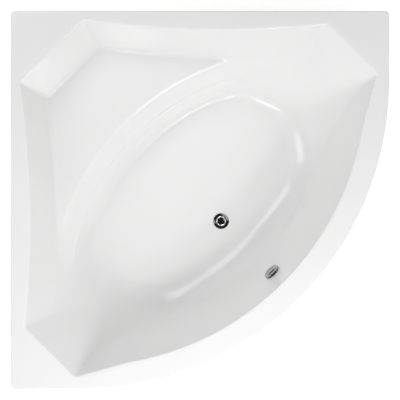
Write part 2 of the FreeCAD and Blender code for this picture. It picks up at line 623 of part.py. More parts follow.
def trap_outlet_nut():
    outside = TRAP_SOCKET + 2 * NUT_WALL
    nut = ribbed_nut(outside, TRAP_SOCKET, TRAP_SOCKET_END - NUT_HEIGHT, TRAP_SOCKET_END)
    lip = ring(outside, TRAP_PIPE, TRAP_SOCKET_END, TRAP_SOCKET_END + BODY_WALL)
    return lying(solid_from(nut.fuse(lip)), TRAP_OUTLET_HEIGHT)


def drain_pipe():
    """Pipe stub with a turned-down end, which the nut holds in the trap's socket."""
    shoulder = TRAP_SOCKET_END + BODY_WALL + SPIGOT_SHOW
    pipe = cylinder(TRAP_PIPE, shoulder, TRAP_OUTLET_LENGTH)
    pipe = pipe.fuse(cylinder(TRAP_PIPE - 2 * SPIGOT_RELIEF, TRAP_POT / 2, shoulder))
    pipe = pipe.cut(cylinder(TRAP_PIPE - 2 * PIPE_WALL, 0, TRAP_OUTLET_LENGTH + 1))
    return lying(pipe, TRAP_OUTLET_HEIGHT)


# --- overflow, drawn from the wet face of the wall: Z faces into the tub and Y runs down the wall --

def at_overflow(shape):
    return laid(shape, OVERFLOW_POINT, OVERFLOW_FACING)


def overflow_rose():
    """Ring on the wet face, screwed through the wall into the chamber behind it."""
    rose = cylinder(OVERFLOW_ROSE, ROSE_SEAT, ROSE_FACE)
    edge = [e for e in rose.Edges if e.BoundBox.ZMin > ROSE_FACE - 0.01]
    rose = rose.makeFillet(ROSE_HEIGHT * 0.6, edge)
    rose = rose.fuse(cylinder(OVERFLOW_TUBE, -SHEET - SEAL_THICK - BODY_WALL, ROSE_SEAT))
    rose = rose.cut(cylinder(OVERFLOW_TUBE - 2 * BODY_WALL, -ELBOW_DEPTH, ROSE_FACE + 1))
    guide = SPINDLE_DIAMETER + 2 * GUIDE_CLEARANCE
    cross = spokes(OVERFLOW_TUBE / 2 - 0.5, 2 * SPINDLE_DIAMETER, guide, 0.0)
    return solid_from(rose.fuse(cross))


def overflow_knob():
    """Round cap that is turned by hand, with a slot right through its upper half."""
    face = KNOB_BACK + KNOB_HEIGHT
    cap = cylinder(OVERFLOW_KNOB, KNOB_BACK, face)
    edges = [e for e in cap.Edges if e.BoundBox.ZMin > face - 0.01]
    cap = cap.makeFillet(KNOB_HEIGHT * 0.4, edges)
    slot = Part.makeBox(SLOT_LENGTH, SLOT_WIDTH, 3 * KNOB_HEIGHT,
                        vec(-SLOT_LENGTH / 2, -SLOT_PLACE - SLOT_WIDTH / 2, KNOB_BACK - KNOB_HEIGHT))
    return cap.cut(slot)


def overflow_spindle():
    """Shaft of the knob, with the crank that pushes the cable."""
    shaft = cylinder(SPINDLE_DIAMETER, -ELBOW_DEPTH + BODY_WALL, KNOB_BACK)
    crank = cylinder(OVERFLOW_TUBE * 0.6, -ELBOW_DEPTH + 2 * BODY_WALL, -ELBOW_DEPTH + 4 * BODY_WALL)
    return shaft.fuse(crank)


def overflow_seal():
    return ring(OVERFLOW_ROSE - 2 * SEAL_INSET, OVERFLOW_HOLE, -SHEET - SEAL_THICK, -SHEET)


def overflow_elbow():
    """Chamber behind the wall, with an outlet straight down to the overflow pipe."""
    face = -SHEET - SEAL_THICK
    chamber = cylinder(OVERFLOW_ROSE - 2 * SEAL_INSET, face - BODY_WALL, face)
    chamber = chamber.fuse(cylinder(OVERFLOW_HOLE + 2 * BODY_WALL, face - ELBOW_DEPTH, face))
    chamber = at_overflow(chamber)
    low = PIPE_TOP - SOCKET_LENGTH / 2
    stub = cylinder(PIPE_SIZE + 2 * BODY_WALL, low, PIPE_TOP + SOCKET_LENGTH, vec(0, PIPE_BACK))
    gland = cylinder(CABLE_DIAMETER + 2 * BODY_WALL, -GLAND_LENGTH, SOCKET_LENGTH, CABLE_START)
    body = chamber.fuse([stub, gland])
    hollow = cylinder(OVERFLOW_HOLE, face - ELBOW_DEPTH + BODY_WALL, face + 1)
    hollow = hollow.cut(cylinder(OVERFLOW_HOLE + 1, face - BODY_WALL, face + 2))
    mouth = cylinder(OVERFLOW_TUBE, face - BODY_WALL - 1, face + 1)
    body = body.cut([at_overflow(hollow), at_overflow(mouth)])
    socket = cylinder(PIPE_SIZE, 0, PIPE_TOP, vec(0, PIPE_BACK))
    way = cylinder(PIPE_SIZE - 2 * PIPE_WALL, 0, PIPE_TOP + SOCKET_LENGTH, vec(0, PIPE_BACK))
    cable_bore = cylinder(CABLE_DIAMETER + 2 * GUIDE_CLEARANCE, -2 * GLAND_LENGTH, 0, CABLE_START)
    return solid_from(body.cut([socket, way, cable_bore]))


def overflow_pipe():
    """Hose straight down from the overflow, round one bend, and level into the waste body."""
    start = vec(0, PIPE_BACK, PIPE_TOP)
    corner = vec(0, PIPE_BACK, PIPE_Z)
    end = vec(0, WASTE_BACK - THROAT_OUTSIDE / 2, PIPE_Z)
    diagonal = PIPE_BEND * (1 - math.sqrt(0.5))
    bend_top = corner + vec(0, 0, PIPE_BEND)
    bend_end = corner + vec(0, PIPE_BEND, 0)
    path = Part.Wire([Part.makeLine(start, bend_top),
                      Part.Arc(bend_top, corner + vec(0, diagonal, diagonal), bend_end).toShape(),
                      Part.makeLine(bend_end, end)])
    outside = tube_along(path, PIPE_SIZE / 2)
    return outside.cut(tube_along(path, PIPE_SIZE / 2 - PIPE_WALL))


def tube_along(path, radius):
    first = path.OrderedEdges[0]
    start = first.valueAt(first.FirstParameter)
    direction = first.tangentAt(first.FirstParameter)
    section = Part.Wire(Part.makeCircle(radius, start, direction))
    return path.makePipeShell([section], True, False)


def lift_cable():
    """Sheathed push cable from the knob's crank down to the lever, in straight runs and arcs."""
    edges = []
    start = CABLE_ROUTE[0]
    for before, corner, after in zip(CABLE_ROUTE, CABLE_ROUTE[1:], CABLE_ROUTE[2:]):
        back = (before - corner).normalize()
        ahead = (after - corner).normalize()
        half = back.getAngle(ahead) / 2
        setback = 0.45 * min(before.distanceToPoint(corner), corner.distanceToPoint(after))
        radius = setback * math.tan(half)
        print("cable bend radius", round(radius, 1))
        first = corner + back * setback
        last = corner + ahead * setback
        middle = corner + (back + ahead).normalize() * (radius / math.sin(half) - radius)
        edges.append(Part.makeLine(start, first))
        edges.append(Part.Arc(first, middle, last).toShape())
        start = last
    edges.append(Part.makeLine(start, CABLE_ROUTE[-1]))
    path = Part.Wire(edges)
    cable = tube_along(path, CABLE_DIAMETER / 2)
    expected = math.pi * CABLE_DIAMETER ** 2 / 4 * path.Length
    print("cable length", round(path.Length, 1), "volume ratio", round(cable.Volume / expected, 4))
    return cable


# --- base board, rails and feet ---------------------------------------------------------------

def board_half_depth(along):
    """How far the board reaches, to the front and to the back, at a place along it."""
    front = FRONT_CENTRE - math.sqrt(BOARD_FRONT_R ** 2 - along ** 2)
    rear = SEAT_CENTRE + math.sqrt(BOARD_REAR_R ** 2 - along ** 2)
    return front, rear


def screw_places():
    """Where screws go up through the rails into the board, in the along/back frame."""
    places = []
    for along in (-RAIL_SPREAD, RAIL_SPREAD):
        front, rear = board_half_depth(along)
        places += [vec(along, front + (rear - front) * share) for share in (0.14, 0.38, 0.62, 0.86)]
    rear = board_half_depth(0.0)[1]
    places += [vec(0, SPINE_FRONT + (rear - SPINE_FRONT) * share) for share in (0.15, 0.5, 0.85)]
    return places


def foot_places():
    front = RAIL_FRONT + FOOT_INSET
    rear = RAIL_REAR - FOOT_INSET
    return [vec(-RAIL_SPREAD, front), vec(RAIL_SPREAD, front), vec(-RAIL_SPREAD, rear),
            vec(RAIL_SPREAD, rear), vec(0, SPINE_REAR - FOOT_INSET)]


def base_board():
    board = Part.makeBox(2 * BOARD_HALF_LENGTH, BEYOND, BOARD_THICK,
                         vec(-BOARD_HALF_LENGTH, -BEYOND / 2, BOARD_BOTTOM))
    board = board.common(cylinder(2 * BOARD_FRONT_R, BOARD_BOTTOM, UNDERSIDE, vec(0, FRONT_CENTRE)))
    board = board.common(cylinder(2 * BOARD_REAR_R, BOARD_BOTTOM, UNDERSIDE, vec(0, SEAT_CENTRE)))
    board = board.cut(cylinder(BOARD_HOLE, 0, FLOOR_Z, vec(0, WASTE_BACK)))
    holes = [cylinder(SCREW_DIAMETER, BOARD_BOTTOM - 1, SCREW_TOP, place) for place in screw_places()]
    return board.cut(holes)


def rail(along, front, rear):
    """Pressed channel, open downwards, with holes for the board screws and the feet."""
    length = rear - front
    channel = Part.makeBox(RAIL_WIDTH, length, RAIL_HEIGHT, vec(along - RAIL_WIDTH / 2, front, RAIL_BOTTOM))
    edges = [e for e in channel.Edges if e.Length > length - 0.01 and e.BoundBox.ZMin > BOARD_BOTTOM - 0.01]
    channel = channel.makeFillet(RAIL_WALL, edges)
    inner = RAIL_WIDTH - 2 * RAIL_WALL
    corner = vec(along - inner / 2, front - 1, RAIL_BOTTOM - RAIL_WALL)
    channel = channel.cut(Part.makeBox(inner, length + 2, RAIL_HEIGHT, corner))
    rod_hole = FOOT_ROD + 2 * ROD_CLEARANCE
    holes = [cylinder(rod_hole, RAIL_BOTTOM, BOARD_BOTTOM + 1, place) for place in foot_places()]
    holes += [cylinder(SCREW_DIAMETER, RAIL_BOTTOM, BOARD_BOTTOM + 1, place) for place in screw_places()]
    return channel.cut(holes)


def rail_screws():
    screws = []
    for place in screw_places():
        head = BOARD_BOTTOM - RAIL_WALL
        shank = cylinder(SCREW_DIAMETER, head, SCREW_TOP, place)
        screws.append(shank.fuse(cylinder(SCREW_HEAD, head - SCREW_HEAD_HEIGHT, head, place)))
    return Part.makeCompound(screws)


def foot_nuts():
    """A nut over and a nut under the rail at each foot, which hold the rod at its height."""
    bore = FOOT_ROD + 2 * GUIDE_CLEARANCE
    nuts = []
    for place in foot_places():
        for low in (BOARD_BOTTOM - RAIL_WALL - HEX_HEIGHT, BOARD_BOTTOM):
            nut = hexagon(HEX_FLATS, low, low + HEX_HEIGHT, place)
            nuts.append(nut.cut(cylinder(bore, 0, FLOOR_Z, place)))
    return Part.makeCompound(nuts)


def foot_rod(place):
    rod = cylinder(FOOT_ROD, FOOT_SOLE, FOOT_ROD_TOP, place)
    rod = rod.makeChamfer(1.0, [e for e in rod.Edges if e.BoundBox.ZMin > FOOT_ROD_TOP - 0.01])
    return rod.fuse(hexagon(HEX_FLATS, FOOT_PAD_HEIGHT, FOOT_PAD_HEIGHT + HEX_HEIGHT, place))


def foot_pad(place):
    sole = cylinder(FOOT_PAD, 0, FOOT_SOLE, place)
    sole = sole.makeFillet(1.5, [e for e in sole.Edges if e.BoundBox.ZMin > FOOT_SOLE - 0.01])
    on_sole = place + vec(0, 0, FOOT_SOLE)
    neck = Part.makeCone(FOOT_PAD * 0.42, FOOT_ROD * 0.9, FOOT_PAD_HEIGHT - FOOT_SOLE, on_sole)
    return sole.fuse(neck).cut(cylinder(FOOT_ROD, FOOT_SOLE, FOOT_PAD_HEIGHT + 1, place))


# --- battens, wall hangers and front panel --------------------------------------------------------

def batten():
    """Wooden strip bonded under the rim, along the wall at +Y."""
    top = RIM_TOP - SHEET
    start = -HALF + BATTEN_START
    return Part.makeBox(BATTEN_END - BATTEN_START, BATTEN_WIDTH, BATTEN_HEIGHT,
                        vec(start, HALF - SHEET - BATTEN_WIDTH, top - BATTEN_HEIGHT))


def across(shape):
    """A piece at the +Y wall, copied to the -X wall by the tub's own symmetry."""
    return shape.mirror(ORIGIN, vec(1, 1))


def wall_hanger(distance):
    """Bent steel hook on the +Y wall; the rim's skirt hangs in it."""
    skirt_foot = RIM_TOP - SKIRT_HEIGHT
    wall = HALF
    lip_out = wall - SHEET - HANGER_GAP
    lip_top = skirt_foot + SKIRT_HEIGHT - SHEET - BATTEN_HEIGHT - HANGER_GAP * 4
    shelf = skirt_foot - HANGER_WALL
    points = [(wall, skirt_foot - HANGER_DROP), (wall, skirt_foot), (lip_out, skirt_foot), (lip_out, lip_top),
              (lip_out - HANGER_WALL, lip_top), (lip_out - HANGER_WALL, shelf),
              (wall - HANGER_WALL, shelf), (wall - HANGER_WALL, skirt_foot - HANGER_DROP)]
    x = -HALF + distance - HANGER_WIDTH / 2
    outline = Part.makePolygon([vec(x, y, z) for y, z in points + points[:1]])
    hook = Part.Face(outline).extrude(vec(HANGER_WIDTH, 0, 0))
    for side in (-0.5, 0.5):
        hole_x = -HALF + distance + side * HANGER_HOLE_SPACING
        start = vec(hole_x, wall + HANGER_WALL, HANGER_HOLE_Z)
        hook = hook.cut(Part.makeCylinder(HANGER_HOLE / 2, 4 * HANGER_WALL, start, vec(0, -1, 0)))
    return hook


def panel_band(inset, thick, low, high):
    """A strip that follows the front of the rim, from wall to wall."""
    band = rim_prism(inset, low, high).cut(rim_prism(inset + thick, low - 1, high + 1))
    behind = turned(Part.makeBox(BEYOND, BEYOND, high - low + 2, vec(-BEYOND / 2, 0, low - 1)))
    band = band.cut(behind)
    end = HALF - PANEL_END
    for corner in (vec(-BEYOND / 2, end, low - 1), vec(-end - BEYOND, -BEYOND / 2, low - 1)):
        band = band.cut(Part.makeBox(BEYOND, BEYOND, high - low + 2, corner))
    return band


def panel_hole():
    """Tool that bores the panel and its bracket for one screw, at the front of the diagonal."""
    return Part.makeCylinder(SCREW_DIAMETER / 2, BEYOND, vec(0, 0, PANEL_SCREW_HEIGHT), vec(0, -1, 0))


def front_panel():
    face = SHEET + PANEL_GAP
    foot_face = face + PLINTH_INSET
    step = PANEL_BOTTOM + PLINTH_HEIGHT
    panel = panel_band(face, PANEL_THICK, step, PANEL_TOP)
    panel = panel.fuse(panel_band(foot_face, PANEL_THICK, PANEL_BOTTOM, step))
    panel = panel.fuse(panel_band(face, PLINTH_INSET + PANEL_THICK, step, step + PANEL_THICK))
    panel = panel.fuse(panel_band(face, PANEL_LIP, PANEL_TOP - PANEL_THICK, PANEL_TOP))
    return solid_from(panel.cut([radial(panel_hole(), angle) for angle in BRACKET_ANGLES]))


def radial(shape, angle):
    """A piece drawn at the front of the diagonal about the front curve's centre, swung round."""
    shape = turned(shape, angle)
    shape.translate(vec(0, FRONT_CENTRE))
    return turned(shape)


def panel_brackets():
    """Floor angles that hold the foot of the panel."""
    inner = FRONT_R - SHEET - PANEL_GAP - PLINTH_INSET - PANEL_THICK
    reach = math.sqrt(inner ** 2 - BRACKET_WIDTH ** 2 / 4)
    corner = vec(-BRACKET_WIDTH / 2, -reach, 0)
    upright = Part.makeBox(BRACKET_WIDTH, BRACKET_WALL, BRACKET_HEIGHT, corner)
    base = Part.makeBox(BRACKET_WIDTH, BRACKET_LEG, BRACKET_WALL, corner)
    floor_hole = cylinder(FLOOR_HOLE, -1, BRACKET_WALL + 1, vec(0, -reach + BRACKET_LEG * 0.6))
    bracket = upright.fuse(base).cut([floor_hole, panel_hole()])
    return Part.makeCompound([radial(bracket, angle) for angle in BRACKET_ANGLES])


def panel_fixings(head_diameter, head_height, start, length):
    """Round pieces lying along the panel's screw holes, from a start outside the plinth's face."""
    face = FRONT_R - SHEET - PANEL_GAP - PLINTH_INSET
    seat = vec(0, -face - start, PANEL_SCREW_HEIGHT)
    piece = Part.makeCylinder(head_diameter / 2, head_height, seat, vec(0, -1, 0))
    if length:
        piece = piece.fuse(Part.makeCylinder(SCREW_DIAMETER / 2, length, seat, vec(0, 1, 0)))
    return [radial(piece, angle) for angle in BRACKET_ANGLES]


def panel_screws():
    return Part.makeCompound(panel_fixings(SCREW_HEAD, SCREW_HEAD_HEIGHT, CURVE_GAP, SCREW_LENGTH))


def panel_screw_caps():
    caps = panel_fixings(CAP_DIAMETER, SCREW_HEAD_HEIGHT + CAP_WALL, CURVE_GAP, 0)
    heads = panel_fixings(SCREW_HEAD + 2 * CAP_CLEARANCE, SCREW_HEAD_HEIGHT, CURVE_GAP, SCREW_LENGTH)
    return Part.makeCompound([cap.cut(head) for cap, head in zip(caps, heads)])


def panel_clips():
    """Angles bonded under the rim, which keep the panel's top lip behind the skirt."""
    top = RIM_TOP - SHEET
    inner = FRONT_R - SHEET - PANEL_GAP - PANEL_LIP
    reach = math.sqrt(inner ** 2 - BRACKET_WIDTH ** 2 / 4) - CURVE_GAP
    left = -BRACKET_WIDTH / 2
    leaf = Part.makeBox(BRACKET_WIDTH, CLIP_LEAF, BRACKET_WALL, vec(left, -reach, top - BRACKET_WALL))
    tongue = Part.makeBox(BRACKET_WIDTH, BRACKET_WALL, CLIP_LEAF, vec(left, -reach, top - CLIP_LEAF))
    return Part.makeCompound([radial(leaf.fuse(tongue), angle) for angle in BRACKET_ANGLES])


# --- every node ------------------------------------------------------------------------------

def all_nodes():
    nodes = {"bath_shell": bath_shell()}
    under_tub = {"base_board": base_board(), "rail_screws": rail_screws(), "foot_nuts": foot_nuts(),
                 "rail_left": rail(-RAIL_SPREAD, RAIL_FRONT, RAIL_REAR),
                 "rail_right": rail(RAIL_SPREAD, RAIL_FRONT, RAIL_REAR),
                 "rail_spine": rail(0.0, SPINE_FRONT, SPINE_REAR)}
    nodes.update({name: turned(shape) for name, shape in under_tub.items()})
    for name, place in zip(FOOT_NAMES, foot_places()):
        nodes["foot_rod_" + name] = turned(foot_rod(place))
        nodes["foot_pad_" + name] = turned(foot_pad(place))
    nodes["rim_batten_rear"] = batten()
    nodes["rim_batten_side"] = across(batten())
    for i, distance in enumerate(HANGER_PLACES, start=1):
        nodes["wall_hanger_rear_%d" % i] = wall_hanger(distance)
        nodes["wall_hanger_side_%d" % i] = across(wall_hanger(distance))
    nodes["front_panel"] = front_panel()
    nodes["panel_brackets"] = panel_brackets()
    nodes["panel_screws"] = panel_screws()
    nodes["panel_screw_caps"] = panel_screw_caps()
    nodes["panel_clips"] = panel_clips()
    upper_seal = ring(WASTE_FLANGE - 2 * SEAL_INSET, THROAT_OUTSIDE, FLOOR_Z, FLOOR_Z + UPPER_SEAL)
    lower_seal = ring(BODY_FLANGE, WASTE_HOLE, UNDERSIDE - SEAL_THICK, UNDERSIDE)
    on_waste = {"waste_flange": waste_flange(), "waste_seal_upper": upper_seal,
                "waste_seal_lower": lower_seal, "waste_body": waste_body(),
                "plug": plug(), "plug_seal": plug_seal(), "plug_stem": plug_stem(),
                "lift_lever": lift_lever(), "lever_pin": lever_pin(), "trap_nut": trap_nut(),
                "trap_seal": trap_seal(), "trap_pot": trap_pot(), "trap_outlet_nut": trap_outlet_nut(),
                "drain_pipe": drain_pipe()}
    nodes.update({name: turned(at_waste(shape)) for name, shape in on_waste.items()})
    on_overflow = {"overflow_rose": overflow_rose(), "overflow_knob": overflow_knob(),
                   "overflow_spindle": overflow_spindle(), "overflow_seal": overflow_seal()}
    nodes.update({name: turned(at_overflow(shape)) for name, shape in on_overflow.items()})
    nodes["overflow_elbow"] = turned(overflow_elbow())
    nodes["overflow_pipe"] = turned(overflow_pipe())
    nodes["lift_cable"] = turned(lift_cable())
    return nodes


def main():
    os.makedirs("parts", exist_ok=True)
    for name, shape in all_nodes().items():
        print(name, len(shape.Solids), shape.isValid(), round(shape.Volume / 1000, 1))
        shape.exportStep("parts/" + name + ".step")


main()
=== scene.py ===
import bpy
import math
import numpy as np
from mathutils import Matrix, Vector


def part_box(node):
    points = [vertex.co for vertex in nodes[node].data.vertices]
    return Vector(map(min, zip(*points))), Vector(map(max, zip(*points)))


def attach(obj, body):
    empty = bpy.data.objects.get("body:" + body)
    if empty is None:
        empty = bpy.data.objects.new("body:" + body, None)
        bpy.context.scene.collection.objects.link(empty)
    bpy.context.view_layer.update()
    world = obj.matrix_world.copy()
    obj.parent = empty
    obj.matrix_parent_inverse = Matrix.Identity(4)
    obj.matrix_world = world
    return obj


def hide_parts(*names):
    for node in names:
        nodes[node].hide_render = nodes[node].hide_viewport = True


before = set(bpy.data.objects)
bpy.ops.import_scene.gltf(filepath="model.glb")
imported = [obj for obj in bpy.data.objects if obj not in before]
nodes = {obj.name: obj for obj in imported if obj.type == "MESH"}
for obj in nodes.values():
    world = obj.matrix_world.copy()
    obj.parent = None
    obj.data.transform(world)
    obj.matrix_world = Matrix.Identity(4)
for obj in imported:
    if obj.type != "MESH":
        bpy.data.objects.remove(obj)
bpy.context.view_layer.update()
scene = bpy.context.scene
scene.view_settings.view_transform = "Standard"
bpy.ops.object.select_all(action="DESELECT")

# --- Tub shell -----------------------------------------------------------------------------------
# One sheet of white acrylic, drawn hot over a mould and backed with sprayed glass fibre, 6 mm in
# all. Its walls run softly into each other, so the sheet is a grid that is laid on the moulded
# form, column by column round the waste, and the hole for the overflow is drilled afterwards.
RIM = 0.600
SHEET = 0.006
BOTTOM = 0.170
HALF = 0.750
FRONT_T = 0.66468
WASTE_T = -0.134
WASTE_HOLE = 0.027
OVERFLOW_HOLE = 0.026


def round_max(a, b, radius):
    """The larger of two distances, with the crease between them rounded to a radius."""
    both = np.hypot(np.maximum(a + radius, 0), np.maximum(b + radius, 0)) - radius
    return np.where((a > -radius) & (b > -radius), both, np.maximum(a, b))


def soft_min(a, b, reach):
    """The smaller of two distances, with a short soft bend where they cross."""
    close = np.maximum(reach - abs(a - b), 0) / reach
    return np.minimum(a, b) - close * close * reach / 4


# The walls' reach at the rim, their lean, and what makes a level distance one square to the wall.
WALL_HEIGHT = 0.43
FRONT_REACH, FRONT_LEAN, FRONT_SLANT = 1.128, 0.28, 0.963
END_REACH, END_LEAN, END_SLANT = 0.84966, 0.68, 0.827
BACK_REACH, BACK_LEAN, BACK_SLANT = 0.83366, 0.337, 0.948
SIDE_SLANT = 0.93
BACK_RIM, BACK_SIDE_LEAN = 0.036, 0.30
END_RIM, END_SIDE_LEAN = 0.053, 0.50
SIDE_BOW = 0.031
# The folds between the walls, which grow from the rim down.
FOLD_TOP = 0.004
FOLD_SIDE, FOLD_SIDE_POWER = 0.13, 1.3
FOLD_BACK = 0.014
FOLD_FOOT, FOLD_POWER = 0.20, 3.0
CHEEK_TOP, CHEEK_RUN, CHEEK_TURN, CHEEK_FOOT = 0.010, 0.35, 0.33, 0.06
CHEEK_FROM, CHEEK_OVER = 0.17, 0.26
FLARE, FLARE_START, FLARE_END = 0.046, 0.64, 0.850


def wall_distance(s, t, z):
    """Distance outside the leaning walls; s runs along the footwell, t to the room's corner."""
    depth = RIM - z
    share = np.clip(depth / WALL_HEIGHT, 0, 1.2)
    along = abs(s)
    corner = np.clip((along - FLARE_START) / (FLARE_END - FLARE_START), 0, 1.3)
    flare = FLARE * corner ** 1.5 * np.clip(1 - share, 0, 1)
    front_reach = FRONT_REACH - FRONT_LEAN * depth + flare
    front = (np.hypot(s, t - FRONT_T) - front_reach) * FRONT_SLANT
    end = (along - (END_REACH - END_LEAN * depth)) * END_SLANT
    back = (t - (BACK_REACH - BACK_LEAN * depth)) * BACK_SLANT
    low = np.clip((depth - CHEEK_FROM) / CHEEK_OVER, 0, 1.2)
    turn = CHEEK_TOP + CHEEK_RUN * depth + CHEEK_FOOT * low ** 2
    end = end + 0.5 * CHEEK_TURN * turn * np.clip(1 + front / turn, 0, 1.5) ** 2
    x, y = (along - t) / 2 ** 0.5, (along + t) / 2 ** 0.5
    back_x = HALF - BACK_RIM - BACK_REACH * 2 ** 0.5
    end_x = END_REACH * 2 ** 0.5 - HALF + END_RIM
    u = 2 * (x - back_x) / (end_x - back_x) - 1
    back_y = HALF - BACK_RIM - BACK_SIDE_LEAN * depth
    end_y = HALF - END_RIM - END_SIDE_LEAN * depth
    bow = SIDE_BOW * (1 - share)
    chord = (back_y + end_y) / 2 + (end_y - back_y) / 2 * u
    side = (y - chord + bow * (1 - u * u)) * SIDE_SLANT
    walls = round_max(front, end, FOLD_TOP + FOLD_FOOT * share ** FOLD_POWER)
    walls = round_max(walls, side, FOLD_TOP + FOLD_SIDE * share ** FOLD_SIDE_POWER)
    return round_max(walls, back, FOLD_TOP + FOLD_BACK * share)


# The corner seat: a flat top, a front of two slopes that bends half-way, and a low ledge there.
SEAT, SEAT_REACH, SEAT_EDGE = 0.390, 1.052, 0.012
SEAT_T = -0.600
UPPER_OUT, UPPER_DOWN = 0.864, 0.504
BEND, BEND_REACH, BEND_SOFT = 0.294, 0.996, 0.004
LOWER_OUT, LOWER_DOWN = 0.956, 0.293
LEDGE, LEDGE_WIDE, LEDGE_ROUND = 0.296, 0.005, 0.005


def seat_depth_inside(s, t, z):
    """Distance inside the corner seat, with the ledge on its front."""
    reach = np.hypot(s, t - SEAT_T)
    upper = UPPER_OUT * (reach - SEAT_REACH) - UPPER_DOWN * (z - SEAT)
    lower = LOWER_OUT * (reach - BEND_REACH) - LOWER_DOWN * (z - BEND)
    slope = soft_min(upper, lower, BEND_SOFT)
    block = -round_max(z - SEAT, -slope, SEAT_EDGE)
    ledge = -round_max(z - LEDGE, -(lower + LEDGE_WIDE), LEDGE_ROUND)
    return round_max(block, ledge, LEDGE_ROUND)


CREASE, CREASE_MORE, CREASE_OVER = 0.016, 0.012, 0.12
FLOOR_ROUND, FLOOR_ROUND_LESS = 0.120, 0.060
FLOOR_MIDDLE, FLOOR_END_RUN = 0.12, 0.45


def in_sheet(s, t, z):
    """Distance into the sheet from the wet side; the form is hollow where this is negative."""
    end_way = np.clip((abs(s) - FLOOR_MIDDLE) / FLOOR_END_RUN, 0, 1)
    floor_round = FLOOR_ROUND - FLOOR_ROUND_LESS * end_way * end_way * (3 - 2 * end_way)
    basin = round_max(wall_distance(s, t, z), BOTTOM - z, floor_round)
    crease = CREASE + CREASE_MORE * np.clip((SEAT - z) / CREASE_OVER, 0, 1)
    return round_max(basin, seat_depth_inside(s, t, z), crease)


EYE = RIM + 0.08


def traced(bearings, leans, iso, top, edge):
    """Reach and height where rays from a point over the waste meet the form or the rim's plane."""
    cos_b, sin_b = np.cos(bearings)[:, None], np.sin(bearings)[:, None]
    out, down = np.sin(leans)[None, :], -np.cos(leans)[None, :]
    near = np.zeros((len(bearings), len(leans)))
    far = near + 2.2
    for halving in range(21):
        ray = (near + far) / 2
        reach, z = ray * out, EYE + ray * down
        solid = in_sheet(reach * cos_b, WASTE_T + reach * sin_b, z) - iso
        inside = -round_max(-solid, z - top, edge)
        near, far = np.where(inside < 0, ray, near), np.where(inside < 0, far, ray)
    return near * out, EYE + near * down


def spread(reach, height, rows, finest, coarsest, turn):
    """Each column's line divided into rows, closer together where the line bends."""
    run, rise = np.diff(reach, axis=1), np.diff(height, axis=1)
    length = np.hypot(run, rise) + 1e-9
    angle = np.unwrap(np.arctan2(rise, run), axis=1)
    bend = (abs(np.diff(angle, axis=1, append=angle[:, -1:]))
            + abs(np.diff(angle, axis=1, prepend=angle[:, :1])))
    cost = np.maximum(length / coarsest, np.minimum(bend / 2 / turn, length / finest))
    kernel = np.ones(9) / 9
    cost = np.array([np.convolve(np.pad(row, 4, mode="edge"), kernel, mode="valid")
                     for row in cost])
    total = np.concatenate([np.zeros((len(cost), 1)), np.cumsum(cost, axis=1)], axis=1)
    total /= total[:, -1:]
    marks = np.linspace(0, 1, rows)
    return (np.array([np.interp(marks, m, r) for m, r in zip(total, reach)]),
            np.array([np.interp(marks, m, h) for m, h in zip(total, height)]))


RIM_CORNER = 0.014
RIM_RADIUS = 1.220
ARC_START = 0.47


def rim_reach(bearings, inset):
    """Reach of the rim's outline from the waste, moved inwards by an inset."""
    cos_b, sin_b = np.cos(bearings), np.sin(bearings)
    near, far = np.zeros(len(bearings)), np.full(len(bearings), 2.0)
    corner = max(RIM_CORNER - inset, 0.001)
    for halving in range(30):
        reach = (near + far) / 2
        s, t = reach * cos_b, WASTE_T + reach * sin_b
        x, y = (s - t) / 2 ** 0.5, (s + t) / 2 ** 0.5
        arc = np.hypot(s, t - FRONT_T) - RIM_RADIUS
        arc = np.where((x > -ARC_START) & (y < ARC_START), arc, -1.0)
        square = round_max(abs(x) - HALF + inset, abs(y) - HALF + inset, corner)
        outside = np.maximum(square, arc + inset)
        near, far = np.where(outside < 0, reach, near), np.where(outside < 0, far, reach)
    return near


COLUMNS = 440


def column_bearings():
    """Bearings round the waste, closer together where the walls turn or fold."""
    widest, sharpest, finest = 0.016, 0.12, 0.0022
    fine = np.linspace(0, 2 * np.pi, 1441)
    leans = np.radians(np.linspace(6, 84, 60))
    reach, z = traced(fine, leans, iso=0.0, top=RIM, edge=0.003)
    outline = rim_reach(fine, 0.0)
    points = np.stack([reach * np.cos(fine)[:, None], reach * np.sin(fine)[:, None], z], axis=2)
    rim = np.stack([outline * np.cos(fine), outline * np.sin(fine), 0 * outline], axis=1)
    points = np.concatenate([points, rim[:, None, :]], axis=1)
    step = np.diff(points, axis=0)
    length = np.linalg.norm(step, axis=2) + 1e-9
    along = step / length[:, :, None]
    turn = np.linalg.norm(np.diff(along, axis=0, append=along[:1]), axis=2)
    longest = length.max(axis=1)
    cost = np.maximum(longest / widest, np.minimum(turn.max(axis=1) / sharpest, longest / finest))
    cost = np.convolve(np.pad(cost, 5, mode="wrap"), np.ones(11) / 11, mode="valid")
    total = np.concatenate([[0], np.cumsum(cost)])
    return np.interp(np.linspace(0, total[-1], COLUMNS + 1), total, fine)[:-1]


def opening_edge(reach, height, top):
    """Where each column's line comes up to the level of a top."""
    return np.array([r[h < top - 1e-5][-1] for r, h in zip(reach, height)])


PAST_EDGE = 0.004


def lines_from_hole(reach, height, floor, top, count):
    """Evenly divided lines from the waste's hole to just past the opening's edge."""
    lines_r, lines_z = [], []
    marks = np.linspace(0, 1, count)
    for r, h, limit in zip(reach, height, opening_edge(reach, height, top)):
        kept = (r > WASTE_HOLE) & (r < limit + PAST_EDGE)
        line_r = np.concatenate([[WASTE_HOLE], r[kept]])
        line_z = np.concatenate([[floor], h[kept]])
        steps = np.hypot(np.diff(line_r), np.diff(line_z))
        length = np.concatenate([[0], np.cumsum(steps)])
        lines_r.append(np.interp(marks * length[-1], length, line_r))
        lines_z.append(np.interp(marks * length[-1], length, line_z))
    return np.array(lines_r), np.array(lines_z)


